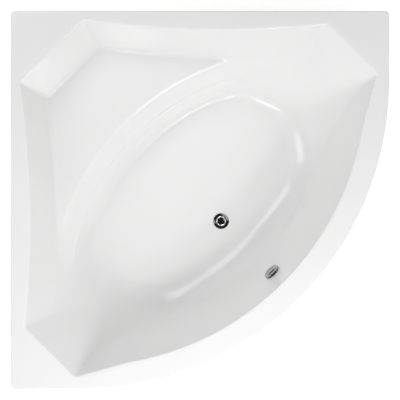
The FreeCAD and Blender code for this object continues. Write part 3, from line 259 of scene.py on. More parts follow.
RIM_EDGE = 0.005
WET_ROWS = 148
RIM_SHARES = (0.12, 0.3, 0.5, 0.7, 0.88, 0.97, 1.0)
EDGE_DEGREES = (15, 30, 45, 60, 75, 90)
SKIRT_OUTSIDE = (0.590, 0.575, 0.5615, 0.560)
SKIRT_INSIDE = (0.560, 0.5615, 0.577, 0.592, RIM - SHEET)
BACK_ROWS = 38


def shell_grid():
    """Reach and height of each row: wet side, rim, skirt and the back of the sheet."""
    bearings = column_bearings()
    leans = np.radians(np.linspace(0.5, 89.0, 1500))
    reach, z = traced(bearings, leans, iso=0.0, top=RIM, edge=0.005)
    lines = lines_from_hole(reach, z, BOTTOM, RIM, 1400)
    wet = spread(*lines, WET_ROWS, finest=0.0012, coarsest=0.013, turn=0.10)
    rows = [(wet[0][:, i], wet[1][:, i]) for i in range(WET_ROWS)]
    start = opening_edge(reach, z, RIM) + PAST_EDGE
    level = np.full(COLUMNS, RIM)
    edge = rim_reach(bearings, RIM_EDGE)
    rows += [(start * (1 - share) + edge * share, level) for share in RIM_SHARES]
    for degrees in EDGE_DEGREES:
        turn = math.radians(degrees)
        inset, fall = RIM_EDGE * (1 - math.sin(turn)), RIM_EDGE * (1 - math.cos(turn))
        rows.append((rim_reach(bearings, inset), level - fall))
    outside, inside = rim_reach(bearings, 0.0), rim_reach(bearings, SHEET)
    rows += [(outside, np.full(COLUMNS, height)) for height in SKIRT_OUTSIDE]
    rows += [(inside, np.full(COLUMNS, height)) for height in SKIRT_INSIDE]
    back_leans = np.radians(np.linspace(0.5, 88.0, 700))
    reach, z = traced(bearings, back_leans, iso=SHEET, top=RIM - SHEET, edge=0.004)
    lines = lines_from_hole(reach, z, BOTTOM - SHEET, RIM - SHEET, 700)
    back = spread(*lines, BACK_ROWS, finest=0.004, coarsest=0.04, turn=0.25)
    last = back[0][:, -1]
    rows += [(last * (1 - share) + inside * share, level - SHEET) for share in (0.66, 0.33)]
    rows += [(back[0][:, i], back[1][:, i]) for i in range(BACK_ROWS - 1, -1, -1)]
    return bearings, np.array([r for r, h in rows]), np.array([h for r, h in rows])


def flat_grid(name, columns, rows):
    """A flat grid to lay on a form, with the column and the row of each of its vertices."""
    bpy.ops.object.select_all(action="DESELECT")
    bpy.ops.mesh.primitive_grid_add(x_subdivisions=columns, y_subdivisions=rows, size=2)
    piece = bpy.context.object
    piece.name = name
    flat = np.empty(len(piece.data.vertices) * 3)
    piece.data.vertices.foreach_get("co", flat)
    flat = (flat.reshape(-1, 3) + 1) / 2
    column, row = np.rint(flat[:, 0] * columns), np.rint(flat[:, 1] * rows)
    return piece, column.astype(int), row.astype(int)


def lay(piece, x, y, z):
    """Lays a grid on its form, closes its seams and turns its faces outwards."""
    piece.data.vertices.foreach_set("co", np.stack([x, y, z], axis=1).ravel())
    piece.data.update()
    bpy.ops.object.mode_set(mode="EDIT")
    bpy.ops.mesh.select_all(action="SELECT")
    bpy.ops.mesh.remove_doubles(threshold=0.00001)
    bpy.ops.mesh.normals_make_consistent(inside=False)
    bpy.ops.object.mode_set(mode="OBJECT")


def pick(piece):
    """Makes one piece the only one that is selected."""
    bpy.ops.object.select_all(action="DESELECT")
    bpy.context.view_layer.objects.active = piece
    piece.select_set(True)


def cut_away(piece, tool):
    """Takes a tool's shape out of a piece, and the tool away."""
    pick(piece)
    recess = piece.modifiers.new("recess", "BOOLEAN")
    recess.operation = "DIFFERENCE"
    recess.object = tool
    recess.solver = "EXACT"
    bpy.ops.object.modifier_apply(modifier="recess")
    bpy.data.objects.remove(tool)


def cut_overflow_hole(shell):
    """Drills the round hole in the front wall, square to the wall."""
    low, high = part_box("overflow_rose")
    across_wall = (math.pi / 2 + math.atan(FRONT_LEAN), 0, math.pi / 4)
    bpy.ops.mesh.primitive_cylinder_add(radius=OVERFLOW_HOLE, depth=0.060, vertices=96,
                                        location=(low + high) / 2, rotation=across_wall)
    cut_away(shell, bpy.context.object)


FIBRE_ROW = WET_ROWS + len(RIM_SHARES) + len(EDGE_DEGREES) + len(SKIRT_OUTSIDE)


def tub_shell():
    """The whole sheet, with its wet side, rim and skirt in acrylic and its back in fibre."""
    bearings, reach, height = shell_grid()
    rows = len(reach)
    shell, column, row = flat_grid("tub_shell", COLUMNS, rows)
    mesh = shell.data
    corners = np.empty(len(mesh.loops), dtype=int)
    mesh.loops.foreach_get("vertex_index", corners)
    face_row = row[corners].reshape(-1, 4).min(axis=1)
    mesh.polygons.foreach_set("material_index", (face_row >= FIBRE_ROW).astype(int))
    column, row = column % COLUMNS, row % rows
    r, z, bearing = reach[row, column], height[row, column], bearings[column]
    s, t = r * np.cos(bearing), WASTE_T + r * np.sin(bearing)
    lay(shell, (s - t) / 2 ** 0.5, (s + t) / 2 ** 0.5, z)
    cut_overflow_hole(shell)
    bpy.ops.object.shade_smooth()
    return shell


def new_finish(name, colour, roughness, metallic=0.0):
    """A material with its plain sockets set, its node tree and its surface shader."""
    finish = bpy.data.materials.new(name)
    finish.use_nodes = True
    tree = finish.node_tree
    surface = tree.nodes["Principled BSDF"]
    surface.inputs["Base Color"].default_value = (*colour, 1)
    surface.inputs["Roughness"].default_value = roughness
    surface.inputs["Metallic"].default_value = metallic
    return finish, tree, surface


def own_place(tree, stretch):
    """The piece's own coordinates, stretched along its axes."""
    place = tree.nodes.new("ShaderNodeTexCoord").outputs["Object"]
    mapping = tree.nodes.new("ShaderNodeMapping")
    mapping.inputs["Scale"].default_value = stretch
    tree.links.new(place, mapping.inputs["Vector"])
    return mapping.outputs["Vector"]


def noise_on(tree, scale, detail=2.0, stretch=(1, 1, 1)):
    """Noise in the piece's own coordinates, with a scale in features for each metre."""
    noise = tree.nodes.new("ShaderNodeTexNoise")
    noise.inputs["Scale"].default_value = scale
    noise.inputs["Detail"].default_value = detail
    tree.links.new(own_place(tree, stretch), noise.inputs["Vector"])
    return noise.outputs["Fac"]


def tone(tree, factor, surface, stops):
    """Drives the base colour from a factor through a ramp of (place, colour) stops."""
    ramp = tree.nodes.new("ShaderNodeValToRGB")
    for element, (at, colour) in zip(ramp.color_ramp.elements, stops):
        element.position = at
        element.color = (*colour, 1)
    for at, colour in stops[2:]:
        ramp.color_ramp.elements.new(at).color = (*colour, 1)
    tree.links.new(factor, ramp.inputs["Fac"])
    tree.links.new(ramp.outputs["Color"], surface.inputs["Base Color"])


def gloss_between(tree, factor, surface, low, high):
    """Varies the roughness with a factor."""
    spread_node = tree.nodes.new("ShaderNodeMapRange")
    spread_node.inputs["To Min"].default_value = low
    spread_node.inputs["To Max"].default_value = high
    tree.links.new(factor, spread_node.inputs["Value"])
    tree.links.new(spread_node.outputs["Result"], surface.inputs["Roughness"])


def relief(tree, factor, surface, distance, strength=1.0):
    """Bump from a factor, with its height in metres."""
    bump = tree.nodes.new("ShaderNodeBump")
    bump.inputs["Distance"].default_value = distance
    bump.inputs["Strength"].default_value = strength
    tree.links.new(factor, bump.inputs["Height"])
    tree.links.new(bump.outputs["Normal"], surface.inputs["Normal"])


def acrylic_white(name):
    """Glossy white sheet with a hardly visible cloudiness and unevenness."""
    finish, tree, surface = new_finish(name, (0.90, 0.90, 0.895), 0.10)
    surface.inputs["IOR"].default_value = 1.49
    tone(tree, noise_on(tree, 5.0, 3.0), surface,
         [(0.3, (0.895, 0.895, 0.892)), (0.7, (0.905, 0.905, 0.902))])
    gloss_between(tree, noise_on(tree, 40.0, 4.0), surface, 0.07, 0.12)
    relief(tree, noise_on(tree, 25.0, 1.0), surface, 0.0003, 0.15)
    return finish


def glass_fibre():
    """Chopped strands under brushed resin: pale, uneven and rough."""
    finish, tree, surface = new_finish("sprayed_glass_fibre", (0.62, 0.60, 0.50), 0.55)
    strands = noise_on(tree, 90.0, 6.0, (1, 4, 2))
    tone(tree, strands, surface, [(0.35, (0.50, 0.48, 0.38)), (0.65, (0.72, 0.71, 0.62))])
    gloss_between(tree, noise_on(tree, 200.0, 3.0), surface, 0.40, 0.70)
    relief(tree, strands, surface, 0.002)
    return finish


shell = tub_shell()
shell.data.materials.append(acrylic_white("white_acrylic"))
shell.data.materials.append(glass_fibre())
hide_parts("bath_shell")
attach(shell, "tub")


# --- Base board ----------------------------------------------------------------------------------
# A 16 mm chipboard that stiffens the flat bottom, sawn to its outline with a round hole for the
# waste. It is bonded to the underside of the tub before the last coat of glass fibre.
def dress(names, finish):
    """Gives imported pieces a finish; their shapes stay as they are."""
    for name in names:
        nodes[name].material_slots[0].material = finish


def chips_on(tree, scale, stretch):
    """Random grey for each chip, in the piece's own coordinates."""
    chips = tree.nodes.new("ShaderNodeTexVoronoi")
    chips.inputs["Scale"].default_value = scale
    tree.links.new(own_place(tree, stretch), chips.inputs["Vector"])
    grey = tree.nodes.new("ShaderNodeRGBToBW")
    tree.links.new(chips.outputs["Color"], grey.inputs["Color"])
    return grey.outputs["Val"]


pressed_chips, tree, surface = new_finish("pressed_chips", (0.62, 0.47, 0.31), 0.7)
chips = chips_on(tree, 210.0, (1, 0.55, 1.6))
tone(tree, chips, surface,
     [(0.15, (0.40, 0.27, 0.15)), (0.9, (0.76, 0.62, 0.43)), (0.5, (0.62, 0.47, 0.30))])
gloss_between(tree, noise_on(tree, 320.0, 3.0), surface, 0.55, 0.85)
relief(tree, chips, surface, 0.0004, 0.6)
dress(["base_board"], pressed_chips)


# --- Battens under the rim -----------------------------------------------------------------------
# Two strips of sawn softwood, 24 by 18 mm, which stiffen the rim along the two walls of the room.
# They are bedded in resin under the sheet, and their sawn edges are eased.
def settle():
    """Keeps the picked piece's place, turn and size in its mesh."""
    bpy.ops.object.transform_apply(location=True, rotation=True, scale=True)


def ease_edges(piece, width, segments=1):
    """Takes the sharpness off all the edges of the picked piece."""
    eased = piece.modifiers.new("eased_edges", "BEVEL")
    eased.width = width
    eased.segments = segments
    bpy.ops.object.modifier_apply(modifier="eased_edges")


def block(place, size, bearing=0.0):
    """A block in its place, turned about Z to a bearing."""
    bpy.ops.object.select_all(action="DESELECT")
    bpy.ops.mesh.primitive_cube_add(size=1, location=place, rotation=(0, 0, bearing), scale=size)
    settle()
    return bpy.context.object


def softwood(name, along_x):
    """Grain that runs along the strip, with darker growth rings and fine pores."""
    finish, tree, surface = new_finish(name, (0.74, 0.57, 0.36), 0.6)
    stretch = (0.04, 1, 1) if along_x else (1, 0.04, 1)
    grain = noise_on(tree, 260.0, 5.0, stretch)
    tone(tree, grain, surface,
         [(0.30, (0.50, 0.33, 0.17)), (0.72, (0.80, 0.65, 0.44)), (0.5, (0.72, 0.55, 0.34))])
    gloss_between(tree, noise_on(tree, 600.0, 2.0, stretch), surface, 0.50, 0.78)
    relief(tree, grain, surface, 0.0005, 0.7)
    return finish


for node, along_x in (("rim_batten_rear", True), ("rim_batten_side", False)):
    low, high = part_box(node)
    batten = block((low + high) / 2, high - low)
    batten.name = node.replace("rim_", "sawn_")
    ease_edges(batten, 0.0012, 2)
    bpy.ops.object.shade_smooth_by_angle(angle=math.radians(30))
    batten.data.materials.append(softwood(batten.name + "_wood", along_x))
    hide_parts(node)
    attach(batten, "tub")


# --- Rails and their screws ----------------------------------------------------------------------
# Three pressed steel channels, zinc-plated and open downwards, which carry the tub on its feet.
# Pan-head screws with a cross recess go up through them into the base board.
SCREW_HEAD_RADIUS = 0.00425
SCREW_HEAD_HIGH = 0.0026
SCREW_CORE = 0.0020
SCREW_PITCH = 0.0014
AXIS = 0.00001


def zinc_plate(name, scale=70.0):
    """Faintly blue plating, clouded, with fine drawing marks and dull spots."""
    finish, tree, surface = new_finish(name, (0.60, 0.62, 0.64), 0.35, 1.0)
    tone(tree, noise_on(tree, scale, 4.0), surface,
         [(0.32, (0.50, 0.52, 0.55)), (0.68, (0.70, 0.71, 0.72)), (0.5, (0.61, 0.62, 0.63))])
    gloss_between(tree, noise_on(tree, scale * 4, 5.0), surface, 0.24, 0.46)
    relief(tree, noise_on(tree, scale * 9, 3.0), surface, 0.0001, 0.3)
    return finish


def turned(name, stations, sides):
    """A body turned through (radius, height) stations, closed on itself or at its axis."""
    bpy.ops.object.select_all(action="DESELECT")
    first_radius, first_height = stations[0]
    bpy.ops.mesh.primitive_circle_add(vertices=sides, radius=first_radius,
                                      location=(0, 0, first_height))
    piece = bpy.context.object
    piece.name = name
    settle()
    bpy.ops.object.mode_set(mode="EDIT")
    bpy.ops.mesh.select_all(action="SELECT")
    for (radius, height), (next_radius, next_height) in zip(stations, stations[1:]):
        up = (0, 0, next_height - height)
        bpy.ops.mesh.extrude_region_move(TRANSFORM_OT_translate={"value": up})
        wider = next_radius / radius
        bpy.ops.transform.resize(value=(wider, wider, 1), center_override=(0, 0, 0))
    bpy.ops.mesh.select_all(action="SELECT")
    bpy.ops.mesh.remove_doubles(threshold=0.00002)
    bpy.ops.mesh.normals_make_consistent(inside=False)
    bpy.ops.object.mode_set(mode="OBJECT")
    return piece


def set_at(piece, place, facing=(0, 0, 1), across=(1, 0, 0)):
    """Puts a piece that was made about the Z axis in its place, and keeps that in its mesh."""
    up, side = Vector(facing).normalized(), Vector(across).normalized()
    turn = Matrix((side, up.cross(side), up)).transposed().to_4x4()
    piece.matrix_world = Matrix.Translation(place) @ turn
    pick(piece)
    settle()


def centres_of(node, spacing):
    """Middles of the like solids in a node, as their vertices lie in clusters on the plan."""
    clusters = []
    for vertex in nodes[node].data.vertices:
        for cluster in clusters:
            first = cluster[0]
            if math.hypot(vertex.co.x - first.x, vertex.co.y - first.y) < spacing:
                cluster.append(vertex.co.copy())
                break
        else:
            clusters.append([vertex.co.copy()])
    return [((min(v.x for v in cluster) + max(v.x for v in cluster)) / 2,
             (min(v.y for v in cluster) + max(v.y for v in cluster)) / 2)
            for cluster in clusters]


def together(name, pieces):
    """Joins pieces into one."""
    bpy.ops.object.select_all(action="DESELECT")
    for piece in pieces:
        piece.select_set(True)
    bpy.context.view_layer.objects.active = pieces[0]
    bpy.ops.object.join()
    pieces[0].name = name
    return pieces[0]


def cross_head_screw(length):
    """Pan-head screw along Z with its head downwards, a cross recess and a coarse thread."""
    r, h, core = SCREW_HEAD_RADIUS, SCREW_HEAD_HIGH, SCREW_CORE
    stations = [(AXIS, -h), (r * 0.55, -h), (r * 0.82, -h * 0.9), (r * 0.96, -h * 0.65),
                (r, -h * 0.3), (r, 0), (core, 0.0001)]
    for turn in range(int((length - 0.003) / SCREW_PITCH)):
        low = 0.001 + turn * SCREW_PITCH
        stations += [(core * 0.78, low), (core, low + 0.0006), (core, low + 0.0008)]
    stations += [(core * 0.8, length - 0.0018), (AXIS, length)]
    screw = turned("cross_head_screw", stations, 20)
    for quarter in (0, math.pi / 2):
        bpy.ops.mesh.primitive_cube_add(size=1, location=(0, 0, -h), rotation=(0, 0, quarter),
                                        scale=(r * 1.05, r * 0.24, h * 0.9))
        cut_away(screw, bpy.context.object)
    return screw


plated_steel = zinc_plate("plated_steel")
dress(["rail_left", "rail_right", "rail_spine"], plated_steel)
low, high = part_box("rail_screws")
first = cross_head_screw(high.z - low.z - SCREW_HEAD_HIGH)
screws = []
for x, y in centres_of("rail_screws", 0.02):
    screw = first.copy()
    screw.data = first.data.copy()
    scene.collection.objects.link(screw)
    set_at(screw, (x, y, low.z + SCREW_HEAD_HIGH))
    screws.append(screw)
bpy.data.objects.remove(first)
rail_screws = together("board_screws", screws)
rail_screws.data.materials.append(zinc_plate("plated_screws", 160.0))
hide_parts("rail_screws")
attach(rail_screws, "tub")


# --- Feet ----------------------------------------------------------------------------------------
# Five M12 rods with a rolled thread stand in plastic pads and are screwed up or down to level the
# tub. Two hexagon nuts on each clamp it to its rail, and a fixed collar takes the spanner.
FEET = ("front_left", "front_right", "rear_left", "rear_right", "corner")
ROD = 0.006
PITCH = 0.00175
THREAD_DEPTH = 0.0010
NUT_FLATS = 0.019
NUT_BORE = 0.00605
NUT_CHAMFER = 0.0018
NUT_LEVELS = ((0.1355, 0.1455), (0.1480, 0.1580))
COLLAR_LOW, COLLAR_HIGH = 0.024, 0.034


def threaded_rod(name, place, low, high):
    """Rod with a real helical thread, laid on a grid of rings, with a chamfer at each end."""
    sides, per_turn = 24, 4
    rows = int((high - low) / PITCH * per_turn)
    rod, round_way, row = flat_grid(name, sides, rows + 2)
    row = row - 1
    angle = 2 * np.pi * (round_way % sides) / sides
    z = low + (high - low) * np.clip(row / rows, 0, 1)
    phase = (z / PITCH - round_way / sides) % 1.0
    depth = np.clip(abs(phase - 0.5) * 2.6 - 0.25, 0, 1) * THREAD_DEPTH
    end = np.minimum(z - low, high - z)
    radius = np.minimum(ROD - depth, ROD - THREAD_DEPTH + end)
    radius = np.where((row < 0) | (row > rows), 0.0, radius)
    lay(rod, place[0] + radius * np.cos(angle), place[1] + radius * np.sin(angle), z)
    bpy.ops.object.shade_smooth_by_angle(angle=math.radians(40))
    return rod


def hexagon_nut(name, place, low, high, bore):
    """Hexagon with its corners turned off at both ends; bored through, or closed for a collar."""
    corner = NUT_FLATS / 3 ** 0.5
    bpy.ops.object.select_all(action="DESELECT")
    bpy.ops.mesh.primitive_cylinder_add(vertices=6, radius=corner, depth=high - low,
                                        location=(place[0], place[1], (low + high) / 2))
    nut = bpy.context.object
    nut.name = name
    settle()
    below, above, small, full = low - 0.001, high + 0.001, corner - NUT_CHAMFER, corner + 0.0002
    cone = turned("corner_cutter", [(corner * 2, below), (corner * 2, above), (small, above),
                                    (small, high), (full, high - 0.0012), (full, low + 0.0012),
                                    (small, low), (small, below), (corner * 2, below)], 48)
    set_at(cone, (place[0], place[1], 0))
    cut_away(nut, cone)
    if bore:
        drill = turned("drill", [(AXIS, below), (bore, below), (bore, above), (AXIS, above)], 32)
        set_at(drill, (place[0], place[1], 0))
        cut_away(nut, drill)
    bpy.ops.object.shade_smooth_by_angle(angle=math.radians(25))
    return nut


plated_thread = zinc_plate("plated_thread", 130.0)
pad_plastic, tree, surface = new_finish("pad_plastic", (0.030, 0.030, 0.032), 0.5)
grain = noise_on(tree, 900.0, 2.0)
tone(tree, noise_on(tree, 30.0, 3.0), surface,
     [(0.35, (0.024, 0.024, 0.026)), (0.65, (0.050, 0.050, 0.053))])
gloss_between(tree, grain, surface, 0.38, 0.60)
relief(tree, grain, surface, 0.0002, 0.5)
nuts = []
for foot in FEET:
    low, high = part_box("foot_rod_" + foot)
    place = ((low.x + high.x) / 2, (low.y + high.y) / 2)
    rod = threaded_rod("threaded_rod_" + foot, place, low.z, high.z)
    collar = hexagon_nut("collar", place, COLLAR_LOW, COLLAR_HIGH, 0.0)
    rod = together("threaded_rod_" + foot, [rod, collar])
    rod.data.materials.append(plated_thread)
    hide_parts("foot_rod_" + foot)
    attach(rod, "foot_" + foot)
    nuts += [hexagon_nut("nut", place, low_face, high_face, NUT_BORE)
             for low_face, high_face in NUT_LEVELS]
foot_nuts = together("hexagon_nuts", nuts)
foot_nuts.data.materials.append(plated_thread)
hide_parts("foot_nuts")
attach(foot_nuts, "tub")
dress(["foot_pad_" + foot for foot in FEET], pad_plastic)


# --- Wall hangers --------------------------------------------------------------------------------
# Four bent steel hooks, zinc-plated, screwed to the walls of the room, in which the rim's
# turned-down edge hangs.
dress(["wall_hanger_rear_1", "wall_hanger_rear_2", "wall_hanger_side_1", "wall_hanger_side_2"],
      plated_steel)


# --- Waste: flange, seals, body, stem and lever --------------------------------------------------
# The chromed brass flange is screwed down through the bottom of the tub into a plastic body, with
# a rubber ring over and under the sheet. A lever in the body lifts the plug by its stem, which
# three arms in the flange's throat guide.
WASTE = (0.094752, -0.094752, 0.0)
THROAT = 0.024
THREAD = 0.026
FLANGE_TILT = math.radians(10.5)
FLANGE_UNDER = 0.1715
FLANGE_RADIUS = 0.035
FLANGE_SHOULDER, SHOULDER_HIGH = 0.0347, 0.17250
ARM_DEGREES = (90, 210, 330)
ARM_REACH, ARM_WIDE, ARM_HIGH = 0.0160, 0.004, 0.005


def chrome_plate(name):
    """Mirror plating with the faint cloudiness and hairlines of wiping."""
    finish, tree, surface = new_finish(name, (0.80, 0.80, 0.82), 0.06, 1.0)
    tone(tree, noise_on(tree, 60.0, 3.0), surface,
         [(0.35, (0.775, 0.775, 0.795)), (0.65, (0.82, 0.82, 0.84))])
    gloss_between(tree, noise_on(tree, 350.0, 5.0, (1, 6, 1)), surface, 0.035, 0.095)
    relief(tree, noise_on(tree, 90.0, 1.0), surface, 0.00005, 0.1)
    return finish


def moulded(name, colour, low_gloss, high_gloss):
    """Moulded plastic: even colour, slightly uneven sheen and a very fine skin."""
    finish, tree, surface = new_finish(name, colour, (low_gloss + high_gloss) / 2)
    darker = tuple(0.94 * c for c in colour)
    tone(tree, noise_on(tree, 24.0, 3.0), surface, [(0.35, darker), (0.65, colour)])
    gloss_between(tree, noise_on(tree, 260.0, 3.0), surface, low_gloss, high_gloss)
    relief(tree, noise_on(tree, 700.0, 2.0), surface, 0.00008, 0.4)
    return finish


def guide_arm(centre, height, bearing, length):
    """One of the three flat arms between a tube and its hub."""
    place = (centre[0] + ARM_REACH * math.cos(bearing), centre[1] + ARM_REACH * math.sin(bearing),
             height)
    return block(place, (length, ARM_WIDE, ARM_HIGH), bearing)


flange_top = [(FLANGE_RADIUS, 0.1717), (FLANGE_RADIUS, 0.1724), (0.0349, 0.17246)]
for reach in (FLANGE_SHOULDER, 0.0330, 0.0310, 0.0290, 0.0270, 0.0252):
    rise = (FLANGE_SHOULDER - reach) * math.tan(FLANGE_TILT)
    flange_top.append((reach, SHOULDER_HIGH + rise))
throat = [(0.0250, 0.17425), (0.0249, 0.1740), (0.0243, 0.1728), (THROAT, 0.1718),
          (THROAT, 0.1400), (THREAD, 0.1400)]
thread = [(THREAD - 0.0007 * (step % 2), 0.1410 + 0.0008 * step) for step in range(37)]
flange = turned("flange", [(THREAD, FLANGE_UNDER), (FLANGE_SHOULDER, FLANGE_UNDER)] + flange_top
                + throat + thread + [(THREAD, FLANGE_UNDER)], 96)
set_at(flange, WASTE)
bpy.ops.object.shade_smooth_by_angle(angle=math.radians(15))
flange.data.materials.append(chrome_plate("chromed_flange"))
hub = turned("hub", [(0.00405, 0.155), (0.0074, 0.155), (0.008, 0.1556), (0.008, 0.1594),
                     (0.0074, 0.160), (0.00405, 0.160), (0.00405, 0.155)], 48)
set_at(hub, WASTE)
arms = [hub]
for degrees in ARM_DEGREES:
    arm = guide_arm(WASTE, 0.1575, math.radians(degrees + 45), 0.0172)
    ease_edges(arm, 0.0006)
    arms.append(arm)
cross = together("flange_cross", arms)
cross.data.materials.append(flange.data.materials[0])
flange = together("chromed_flange", [flange, cross])
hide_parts("waste_flange")
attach(flange, "tub")

moulded_rubber, tree, surface = new_finish("moulded_rubber", (0.018, 0.018, 0.018), 0.6)
bloom = noise_on(tree, 120.0, 4.0)
tone(tree, bloom, surface, [(0.35, (0.012, 0.012, 0.012)), (0.70, (0.040, 0.040, 0.041))])
gloss_between(tree, bloom, surface, 0.50, 0.72)
relief(tree, noise_on(tree, 1100.0, 2.0), surface, 0.0001, 0.4)
dress(["waste_seal_upper", "waste_seal_lower", "plug_seal", "trap_seal", "overflow_seal"],
      moulded_rubber)

turned_steel, tree, surface = new_finish("turned_steel", (0.68, 0.67, 0.65), 0.25, 1.0)
lathe_marks = noise_on(tree, 900.0, 3.0, (0.05, 0.05, 1))
tone(tree, lathe_marks, surface, [(0.35, (0.60, 0.59, 0.57)), (0.65, (0.73, 0.72, 0.71))])
gloss_between(tree, lathe_marks, surface, 0.18, 0.36)
relief(tree, lathe_marks, surface, 0.00005, 0.3)
dress(["plug_stem", "lever_pin"], turned_steel)

dress(["lift_lever"], moulded("lever_nylon", (0.030, 0.030, 0.031), 0.30, 0.46))
white_moulding = moulded("white_moulding", (0.80, 0.80, 0.785), 0.26, 0.42)
dress(["waste_body"], white_moulding)


# --- Plug ----------------------------------------------------------------------------------------
# A chromed disc with a low polished dome, which drops into the flange's throat on its rubber ring
# and is lifted from below, so nothing is screwed to its face.
PLUG_RADIUS = 0.0225
PLUG_UNDER = 0.1705
CROWN_TOP = 0.1765
CROWN_RADIUS = 0.105
CROWN_REACH = 0.0170
EDGE_RADIUS = 0.0072
crown_half = math.asin(CROWN_REACH / CROWN_RADIUS)
crown = []
for share in (1.0, 0.85, 0.7, 0.55, 0.4, 0.25, 0.1):
    lean = crown_half * share
    crown.append((CROWN_RADIUS * math.sin(lean), CROWN_TOP - CROWN_RADIUS * (1 - math.cos(lean))))
edge = []
for degrees in (58, 50, 42, 34, 26, 18):
    lean = math.radians(degrees)
    edge.append((CROWN_REACH + EDGE_RADIUS * (math.sin(lean) - math.sin(crown_half)),
                 crown[0][1] - EDGE_RADIUS * (math.cos(crown_half) - math.cos(lean))))
plug = turned("polished_plug", [(AXIS, PLUG_UNDER), (0.0219, PLUG_UNDER), (PLUG_RADIUS, 0.1711),
                                (PLUG_RADIUS, edge[0][1] - 0.0006)]
              + edge + crown + [(AXIS, CROWN_TOP)], 96)
set_at(plug, WASTE)
bpy.ops.object.shade_smooth_by_angle(angle=math.radians(28))
plug.data.materials.append(chrome_plate("chromed_plug"))
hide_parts("plug")
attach(plug, "plug")


# --- Overflow: rose, knob, spindle, chamber, hose and cable --------------------------------------
# A chromed rose is screwed through the front wall into a plastic chamber. Its slotted knob, in
# satin nickel, turns the spindle, which pushes the cable to the plug's lever; the ribbed hose
# takes the water to the waste.
FACING = (-0.680918, 0.680918, 0.269630)
ACROSS = (0.707107, 0.707107, 0.0)
OVERFLOW = (0.300293, -0.300293, 0.462)
ROSE_RADIUS, ROSE_SEAT, ROSE_FACE = 0.037, 0.00073, 0.00323
ROSE_BORE, ROSE_TUBE, ROSE_TUBE_END = 0.022, 0.025, -0.0115
HUB_BORE, HUB_RADIUS, HUB_BACK = 0.00505, 0.010, -0.005
KNOB_RADIUS, KNOB_BACK, KNOB_FACE = 0.034, 0.00573, 0.01273
KNOB_OPENINGS = (((0, -0.014, 0.009), (0.034, 0.013, 0.021)),
                 ((0, -0.0315, 0.00923), (0.029, 0.012, 0.0052)))


def eased_corner(radius, height, easing, steps=5):
    """Stations round a turned outside corner, from the side up on to the face."""
    turn = [math.pi / 2 * step / steps for step in range(steps + 1)]
    return [(radius - easing * (1 - math.cos(a)), height - easing * (1 - math.sin(a)))
            for a in turn]


rose = turned("rose", [(ROSE_TUBE, ROSE_SEAT), (ROSE_RADIUS, ROSE_SEAT)]
              + eased_corner(ROSE_RADIUS, ROSE_FACE, 0.0015)
              + [(0.0224, ROSE_FACE), (ROSE_BORE, ROSE_FACE - 0.0004), (ROSE_BORE, ROSE_TUBE_END),
                 (ROSE_TUBE, ROSE_TUBE_END), (ROSE_TUBE, ROSE_SEAT)], 96)
hub = turned("hub", [(HUB_BORE, HUB_BACK), (HUB_RADIUS, HUB_BACK), (HUB_RADIUS, 0.0),
                     (HUB_BORE, 0.0), (HUB_BORE, HUB_BACK)], 48)
arms = [guide_arm((0, 0), HUB_BACK / 2, math.radians(degrees), 0.0132) for degrees in ARM_DEGREES]
rose = together("chromed_rose", [rose, hub] + arms)
set_at(rose, OVERFLOW, FACING, ACROSS)
bpy.ops.object.shade_smooth_by_angle(angle=math.radians(28))
rose.data.materials.append(chrome_plate("chromed_rose"))
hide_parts("overflow_rose")
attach(rose, "tub")

knob = turned("slotted_knob", [(AXIS, KNOB_BACK), (KNOB_RADIUS - 0.0008, KNOB_BACK),
                               (KNOB_RADIUS, KNOB_BACK + 0.0008)]
              + eased_corner(KNOB_RADIUS, KNOB_FACE, 0.0028, 7)
              + [(0.0285, KNOB_FACE - 0.00005), (0.027, KNOB_FACE - 0.0002),
                 (0.015, KNOB_FACE - 0.0006), (AXIS, KNOB_FACE - 0.0007)], 120)
satin_nickel, tree, surface = new_finish("satin_nickel", (0.42, 0.42, 0.43), 0.22, 1.0)
tone(tree, noise_on(tree, 60.0, 3.0), surface,
     [(0.35, (0.39, 0.39, 0.40)), (0.65, (0.45, 0.45, 0.46))])
gloss_between(tree, noise_on(tree, 500.0, 4.0), surface, 0.16, 0.28)
relief(tree, noise_on(tree, 700.0, 2.0), surface, 0.00003, 0.2)
knob.data.materials.append(satin_nickel)
# Painted shade: the faces cut by the knob's two openings take a near-black finish, which paints
# the shade inside the slots; the real knob has no black lining there.
painted_slot_shade = moulded("painted_slot_shade", (0.012, 0.012, 0.012), 0.45, 0.60)
for place, size in KNOB_OPENINGS:
    opening = block(place, size)
    opening.data.materials.append(painted_slot_shade)
    ease_edges(opening, 0.0015, 4)
    cut_away(knob, opening)
set_at(knob, OVERFLOW, FACING, ACROSS)
bpy.ops.object.shade_smooth_by_angle(angle=math.radians(28))
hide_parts("overflow_knob")
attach(knob, "knob")

turned_brass, tree, surface = new_finish("turned_brass", (0.72, 0.53, 0.24), 0.25, 1.0)
tone(tree, noise_on(tree, 90.0, 4.0), surface,
     [(0.35, (0.60, 0.42, 0.17)), (0.65, (0.78, 0.60, 0.30))])
gloss_between(tree, noise_on(tree, 700.0, 3.0), surface, 0.18, 0.38)
relief(tree, noise_on(tree, 800.0, 2.0), surface, 0.00005, 0.3)
dress(["overflow_spindle"], turned_brass)
dress(["overflow_elbow"], white_moulding)
dress(["lift_cable"], moulded("cable_sheath", (0.045, 0.045, 0.050), 0.30, 0.45))

# The hose drops behind the wall, bends and runs level to the waste, ribbed between plain cuffs.
HOSE, HOSE_BORE, RIB_FOOT, RIB_PITCH, CUFF = 0.016, 0.014, 0.0147, 0.0045, 0.026
HOSE_TOP, HOSE_TURN, HOSE_LEVEL = 0.4171, 0.203, 0.118
HOSE_BACK, HOSE_BEND, HOSE_END = -0.44924, 0.085, -0.160
HOSE_SIDES = 32
drop, arc = HOSE_TOP - HOSE_TURN, HOSE_BEND * math.pi / 2
level_run = HOSE_END - (HOSE_BACK + HOSE_BEND)
hose_length = drop + arc + level_run


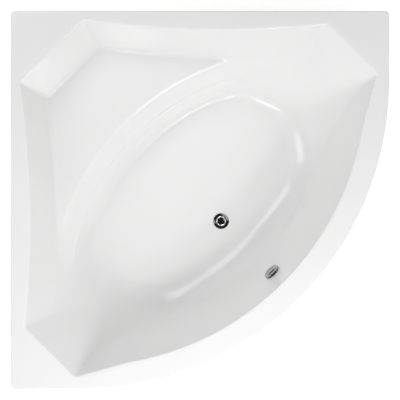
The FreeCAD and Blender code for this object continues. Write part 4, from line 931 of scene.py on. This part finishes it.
def hose_line(way):
    """Middle of the hose and its direction at a distance from its top, in its upright plane."""
    if way < drop:
        return HOSE_BACK, HOSE_TOP - way, 0.0
    if way < drop + arc:
        turn = (way - drop) / HOSE_BEND
        return (HOSE_BACK + HOSE_BEND * (1 - math.cos(turn)),
                HOSE_TURN - HOSE_BEND * math.sin(turn), turn)
    return HOSE_BACK + HOSE_BEND + way - drop - arc, HOSE_LEVEL, math.pi / 2


ways, radii = [0.0, CUFF], [HOSE, HOSE]
way = CUFF
while way < hose_length - CUFF - 0.004:
    for step, radius in ((0.0006, RIB_FOOT), (0.0020, RIB_FOOT), (0.0026, HOSE), (0.0042, HOSE)):
        ways.append(way + step)
        radii.append(radius)
    way += RIB_PITCH
inner_ways = list(np.linspace(hose_length, 0.0, 60))
ways += [way + 0.0006, hose_length] + inner_ways
radii += [HOSE, HOSE] + [HOSE_BORE] * len(inner_ways)
hose, side, row = flat_grid("ribbed_hose", HOSE_SIDES, len(ways))
row = row % len(ways)
angle = 2 * np.pi * side / HOSE_SIDES
t, z, turn = np.array([hose_line(way) for way in ways]).T[:, row]
radius = np.array(radii)[row]
s = radius * np.cos(angle)
t = t + radius * np.sin(angle) * np.cos(turn)
z = z + radius * np.sin(angle) * np.sin(turn)
lay(hose, (s - t) / 2 ** 0.5, (s + t) / 2 ** 0.5, z)
bpy.ops.object.shade_smooth_by_angle(angle=math.radians(50))
hose.data.materials.append(moulded("hose_plastic", (0.40, 0.42, 0.44), 0.32, 0.50))
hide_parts("overflow_pipe")
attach(hose, "tub")


# --- Trap and drain pipe -------------------------------------------------------------------------
# A round plastic pot trap hangs from the waste body by its union nut. A 40 mm pipe leaves its side
# towards the room's wall, held by a second nut and its rubber ring.
dress(["trap_pot", "trap_nut", "trap_outlet_nut"], white_moulding)
dress(["drain_pipe"], moulded("drain_pipe_plastic", (0.74, 0.74, 0.72), 0.30, 0.44))


# --- Front panel and its fixings -----------------------------------------------------------------
# The curved panel is acrylic like the tub, clipped behind the rim at its top and screwed to three
# floor brackets through its recessed foot, with white caps over the screws.
dress(["front_panel"], acrylic_white("panel_acrylic"))
dress(["panel_brackets", "panel_clips"], plated_steel)
dress(["panel_screws"], plated_thread)
dress(["panel_screw_caps"], moulded("cap_plastic", (0.86, 0.86, 0.85), 0.20, 0.34))


# --- Floor, light and camera ---------------------------------------------------------------------
# A pale studio floor that turns white in the picture, soft lamps all round with two narrow ones
# for the strokes of light on the seat's creases, and the camera straight over the tub. Overhead
# and high in front the studio is dark, which shows only in reflections.
WORLD_LEVEL = 0.45
DARK_SHARE = 0.97
CAMERA_HIGH = 3.8
bpy.ops.mesh.primitive_plane_add(size=40, location=(0, 0, -0.0004))
floor = bpy.context.object
floor.name = "studio_floor"
floor_finish, tree, surface = new_finish("floor_paint", (0.85, 0.85, 0.85), 0.9)
ray = tree.nodes.new("ShaderNodeLightPath")
seen = tree.nodes.new("ShaderNodeMath")
seen.operation = "MAXIMUM"
tree.links.new(ray.outputs["Is Camera Ray"], seen.inputs[0])
tree.links.new(ray.outputs["Is Glossy Ray"], seen.inputs[1])
tree.links.new(seen.outputs["Value"], surface.inputs["Emission Strength"])
surface.inputs["Emission Color"].default_value = (0.55, 0.55, 0.55, 1)
floor.data.materials.append(floor_finish)

world = bpy.data.worlds.new("studio")
scene.world = world
world.use_nodes = True
tree = world.node_tree
background = tree.nodes["Background"]
background.inputs["Color"].default_value = (1, 1, 1, 1)
ray = tree.nodes.new("ShaderNodeLightPath")


def worked_out(operation, *values, kind="ShaderNodeMath"):
    """The result of a math node of the world, with numbers set and sockets linked in order."""
    node = tree.nodes.new(kind)
    node.operation = operation
    for socket, value in zip(node.inputs, values):
        if isinstance(value, bpy.types.NodeSocket):
            tree.links.new(value, socket)
        else:
            socket.default_value = value
    return node.outputs["Value"]


def dark_towards(direction, from_value, to_value):
    """0 to 1 as a look direction turns towards a dark part of the studio."""
    look = tree.nodes.new("ShaderNodeTexCoord").outputs["Generated"]
    aim = tuple(Vector(direction).normalized())
    facing = worked_out("DOT_PRODUCT", look, aim, kind="ShaderNodeVectorMath")
    step = tree.nodes.new("ShaderNodeMapRange")
    step.interpolation_type = "SMOOTHSTEP"
    step.inputs["From Min"].default_value = from_value
    step.inputs["From Max"].default_value = to_value
    tree.links.new(facing, step.inputs["Value"])
    return step.outputs["Result"]


overhead = dark_towards((-0.05, 0.07, 1), 0.946, 0.961)
front_side = dark_towards((0.25, -1, 0), 0.03, 0.10)
high_part = dark_towards((0, 0, 1), 0.865, 0.885)
dark = worked_out("MAXIMUM", overhead, worked_out("MULTIPLY", front_side, high_part))
glossy_dark = worked_out("MULTIPLY", dark, ray.outputs["Is Glossy Ray"])
lit = worked_out("MULTIPLY_ADD", glossy_dark, -DARK_SHARE * WORLD_LEVEL, WORLD_LEVEL)
level = worked_out("MAXIMUM", lit, ray.outputs["Is Camera Ray"])
tree.links.new(level, background.inputs["Strength"])


def softbox(name, place, aim, width, height, power, mirrored=True):
    """A rectangular lamp that is turned to its aim."""
    lamp = bpy.data.lights.new(name, "AREA")
    lamp.shape = "RECTANGLE"
    lamp.size, lamp.size_y = width, height
    lamp.energy = power
    holder = bpy.data.objects.new(name, lamp)
    scene.collection.objects.link(holder)
    holder.location = place
    holder.visible_glossy = mirrored
    from_aim = holder.location - Vector(aim)
    holder.rotation_euler = from_aim.to_track_quat("Z", "Y").to_euler()


middle = (0, 0, 0.4)
softbox("front_box", (0.5, -1.6, 2.6), middle, 0.8, 0.35, 16)
softbox("seat_spot_right", (1.35, -1.70, 2.6), (-0.5, 0.5, 0.4), 0.40, 0.22, 7)
softbox("seat_spot_left", (-0.85, -1.62, 2.6), (-0.3, 0.6, 0.4), 0.50, 0.22, 6)
softbox("low_front_box", (1.3, -2.9, 2.9), middle, 1.2, 1.2, 22, False)
softbox("left_box", (-3.0, 0.0, 3.1), middle, 1.1, 1.1, 12)
softbox("rear_box", (-1.4, 2.2, 3.4), middle, 1.4, 1.4, 18)
softbox("right_box", (2.8, 0.3, 3.2), middle, 1.2, 1.2, 6)

eye = bpy.data.cameras.new("overhead")
eye.sensor_width = 36
eye.lens = 72.7
eye_object = bpy.data.objects.new("overhead", eye)
scene.collection.objects.link(eye_object)
eye_object.location = (0, 0, CAMERA_HIGH)
scene.camera = eye_object
